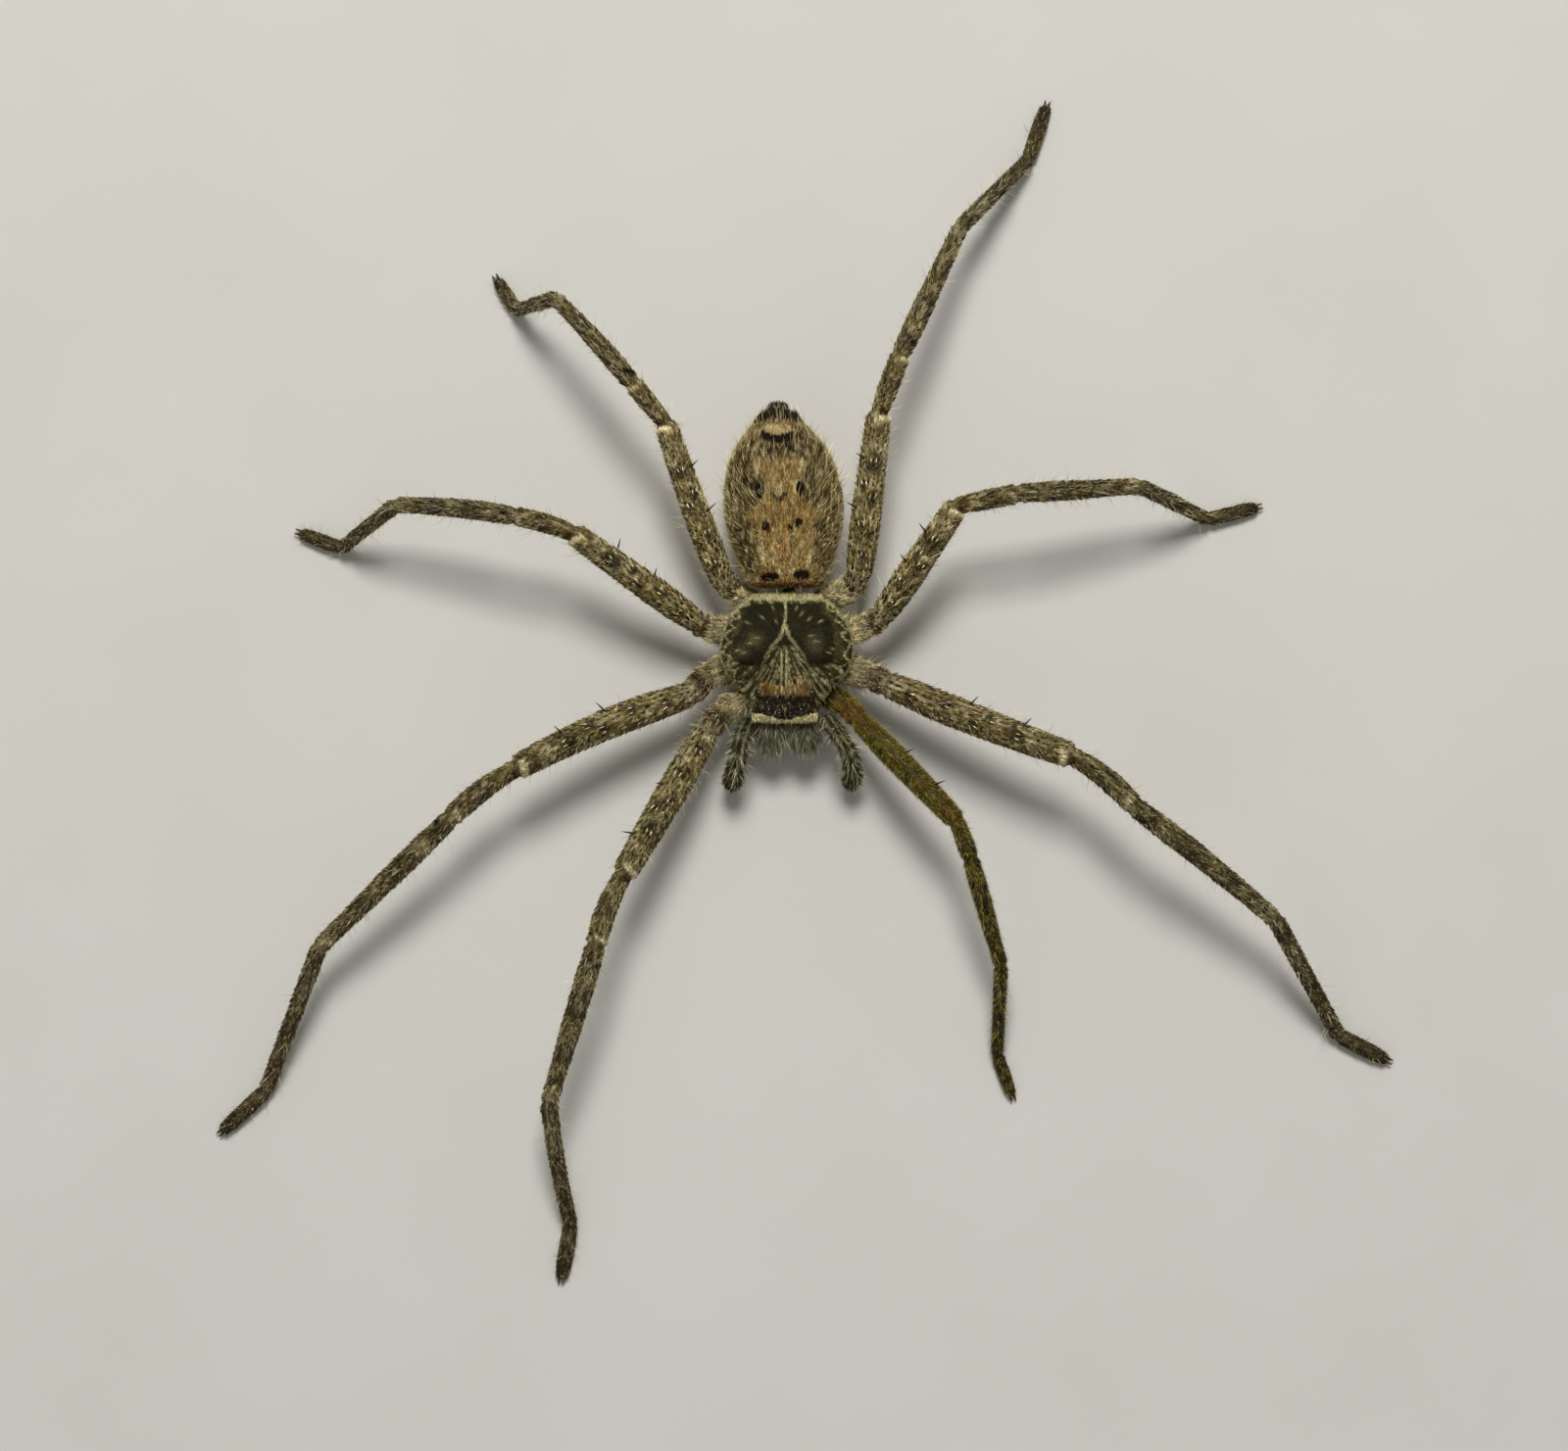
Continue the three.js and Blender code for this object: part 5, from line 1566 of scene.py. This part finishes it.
def plate(u, v):
    # the breast plate
    inset, front, top = underneath["inset"], underneath["front"], underneath["top"]
    k = circle(1 - held(least(v, 1 - v) / 0.06))
    y = front + (underneath["rear"] - front) * v
    angle = 2 * math.pi * u + math.pi / 2
    under = plateLow(y) + inset
    x = (plateHalfWidth(y) - inset) * squarer(np.cos(angle), underneath["squareness"]) * k
    z = (under + top) / 2 + (top - under) / 2 * squarer(np.sin(angle), underneath["squareness"]) * k
    points = np.stack([x, y, z], axis=1)
    return points, points + (0, 1100, 0)


def plateMarks(u, v, points, lay):
    rim = fall(plateHalfWidth(points[:, 1]) - np.abs(points[:, 0]), 0.1, 0.5)
    return {"dark": 0.45 * rim + 0.35 * (points[:, 2] > 3.6), "pale": 0.3 * hill(points[:, 0], 0.8)}


def flank(u, v):
    # soft wall between the shield and the legs' roots
    wall = underneath["flank"]
    angle, polar = 2 * math.pi * u + math.pi / 2, math.pi * held(v)
    y = wall["front"] + wall["length"] * (1 - np.cos(polar)) / 2
    ring = np.sin(polar) ** 0.35
    x = midline(y) + (shellHalfWidth(y) * wall["share"]) * squarer(np.cos(angle), 0.6) * ring
    z = wall["height"] + wall["rise"] * squarer(np.sin(angle), 0.6) * ring
    points = np.stack([x, y, z], axis=1)
    return points, points + (0, 1300, 0)


def makeUnderside():
    material = coatedCuticle("hairyUndersideCuticle", "#8d7a4d #76643c #6a5834", (0.08, 0.25),
                             warm="#84572b", dark="#33271a", pale="#b9aa80")

    def placed(piece, *nodes):
        settle(piece, material, "underside_cuticle", nodes)
    form = formOf(plate, plateMarks, lieToward(0, 1, 0))
    placed(makeSkin("skin_sternum", form, 80, 70), "sternum")
    below = lambda found: (found["normal"][:, 2] < 0.2) * 1.0
    placed(makeCoat("coat_sternum", form, [
        hairs(5200, 0.38, 0.045, 18, 8, 14, where=below),
        hairs(260, 0.8, 0.035, 55, 12, 30, bend=20, where=below, pale=0.7, dark=0),
    ], 601))

    def ball(name, side, seed, **marks):
        part = mouth[name]
        centre = np.array(part["centre"]) * (side, 1, 1) + (jaw["middle"], 0, 0)
        return ballForm(centre, part["size"], marks, part.get("tilt", 0), seed)
    forms = {"base": ball("base", 1, 60, dark=0.5, warm=0.4),
             "lip": ball("lip", 1, 61, dark=0.55, warm=0.5)}
    for letter, side in hands.items():
        forms[letter] = ball("lobe", side, 62 + side, dark=0.2, warm=0.5)
    skins = [makeSkin(f"mouth_{name}", one, 32, 20) for name, one in forms.items()]
    placed(joinPieces("skin_mouthparts", skins), "mouthparts")
    frontEnd = lambda found: (found["v"] < 0.35) * 1.0
    layers = [hairs(900, 0.3, 0.035, 25, 8, 15, on=name) for name in forms]
    layers += [hairs(300, 0.5, 0.035, 35, 8, 12, on=letter, bend=12, where=frontEnd, warm=0.9,
                     dark=0) for letter in hands]
    placed(makeCoat("coat_mouthparts", forms, layers, 602))
    placed(makeSkin("flank_membrane", formOf(flank, evenMarks(dark=0.55, warm=0.25)), 64, 60))
    print("underside: breast plate, mouth and flanks")


# Feelers beside the jaws

palps = {
    "r": {"root": (-2.95, 0.22), "lengths": (2.3, 1.25, 1.9, 3.0), "headings": (-110, -98, -106, -101),
          "heights": (3.95, 5.35, 5.3, 3.9, 1.05), "dark": 0.42},
    "l": {"root": (3, 0.55), "lengths": (2.75, 1.25, 1.9, 2.9), "headings": (-57, -62, -80, -95),
          "heights": (3.95, 5.35, 5.2, 3.7, 1.05), "dark": 0.2},
}
palpPieces = {   # radii from base to tip
    "femur": (0.5, 0.6, 0.64, 0.6), "patella": (0.56, 0.66, 0.63), "tibia": (0.6, 0.66, 0.65),
    "tarsus": (0.6, 0.68, 0.6, 0.3),
}


def makePalps():
    material = coatedCuticle("hairyPalpCuticle", "#5c5731 #3d3a1d #323018", (0.08, 0.35),
                             warm="#7c6a3c", dark="#15140a", pale="#d0cb9f")
    for number, (letter, palp) in enumerate(palps.items()):
        limb = limbOf(jointsOf(palp), palpPieces.values(), inset=0.14, bend=0.25,
                      caps=(0.15, 0.25))
        total, joints = limb["starts"][-1], limb["starts"][1:-1]

        def relief(q):
            return sum(-0.05 * hill(q - spot, 0.14) for spot in joints)

        def marks(q, angle, lay):
            # two pale lines along the upper side, pale joints and a dark foot
            fine = cloud(lay, (0.08, 0.5, 0.08), 71)
            ridges = hill(np.cos(angle) - 0.55, 0.16) + hill(np.cos(angle) + 0.45, 0.16)
            ridges = ridges * (np.sin(angle) > 0) * fall(q, 4.4, 5.4)
            tip = ramp(q, total - 2.6, total - 0.6)
            joint = sum(hill(q - spot + 0.15, 0.16) for spot in joints)
            dark = palp["dark"] + 0.45 * tip + 0.35 * ramp(fine, 0.62, 0.8)
            return {"pale": held(0.75 * ridges * ramp(fine, 0.25, 0.5) + 0.35 * joint),
                    "dark": held(dark * (1 - 0.8 * held(ridges)))}
        form = limbForm(limb, marks, relief, seed=70 + number)
        settle(makeSkin(f"skin_palp_{letter}", form, 28, 90), material, "palp_cuticle",
               [f"palp_{letter}_upper", f"palp_{letter}_lower"])
        foot = lambda found: ramp(found["v"], 0.5, 0.75)
        settle(makeCoat(f"coat_palp_{letter}", form, [
            hairs(5200, 0.42, 0.055, 22, 8, 14, tone=0.85),
            hairs(1200, 0.6, 0.045, 38, 12, 20, bend=16, tone=0.9),
            hairs(260, 1.1, 0.034, 52, 12, 26, bend=22, pale=0.95, dark=0, tone=1.2),
            hairs(2400, 0.62, 0.05, 34, 10, 16, bend=14, where=foot),
        ], 700 + number), material, "palp_cuticle")
    print("feelers: skins and coats")


horn = materialOf("tannedChitin", tannedChitin)
makeStudio()
makeLegs()
makeShell()
makeBelly()
makeSpinnerets()
makeJaws()
makeUnderside()
makePalps()
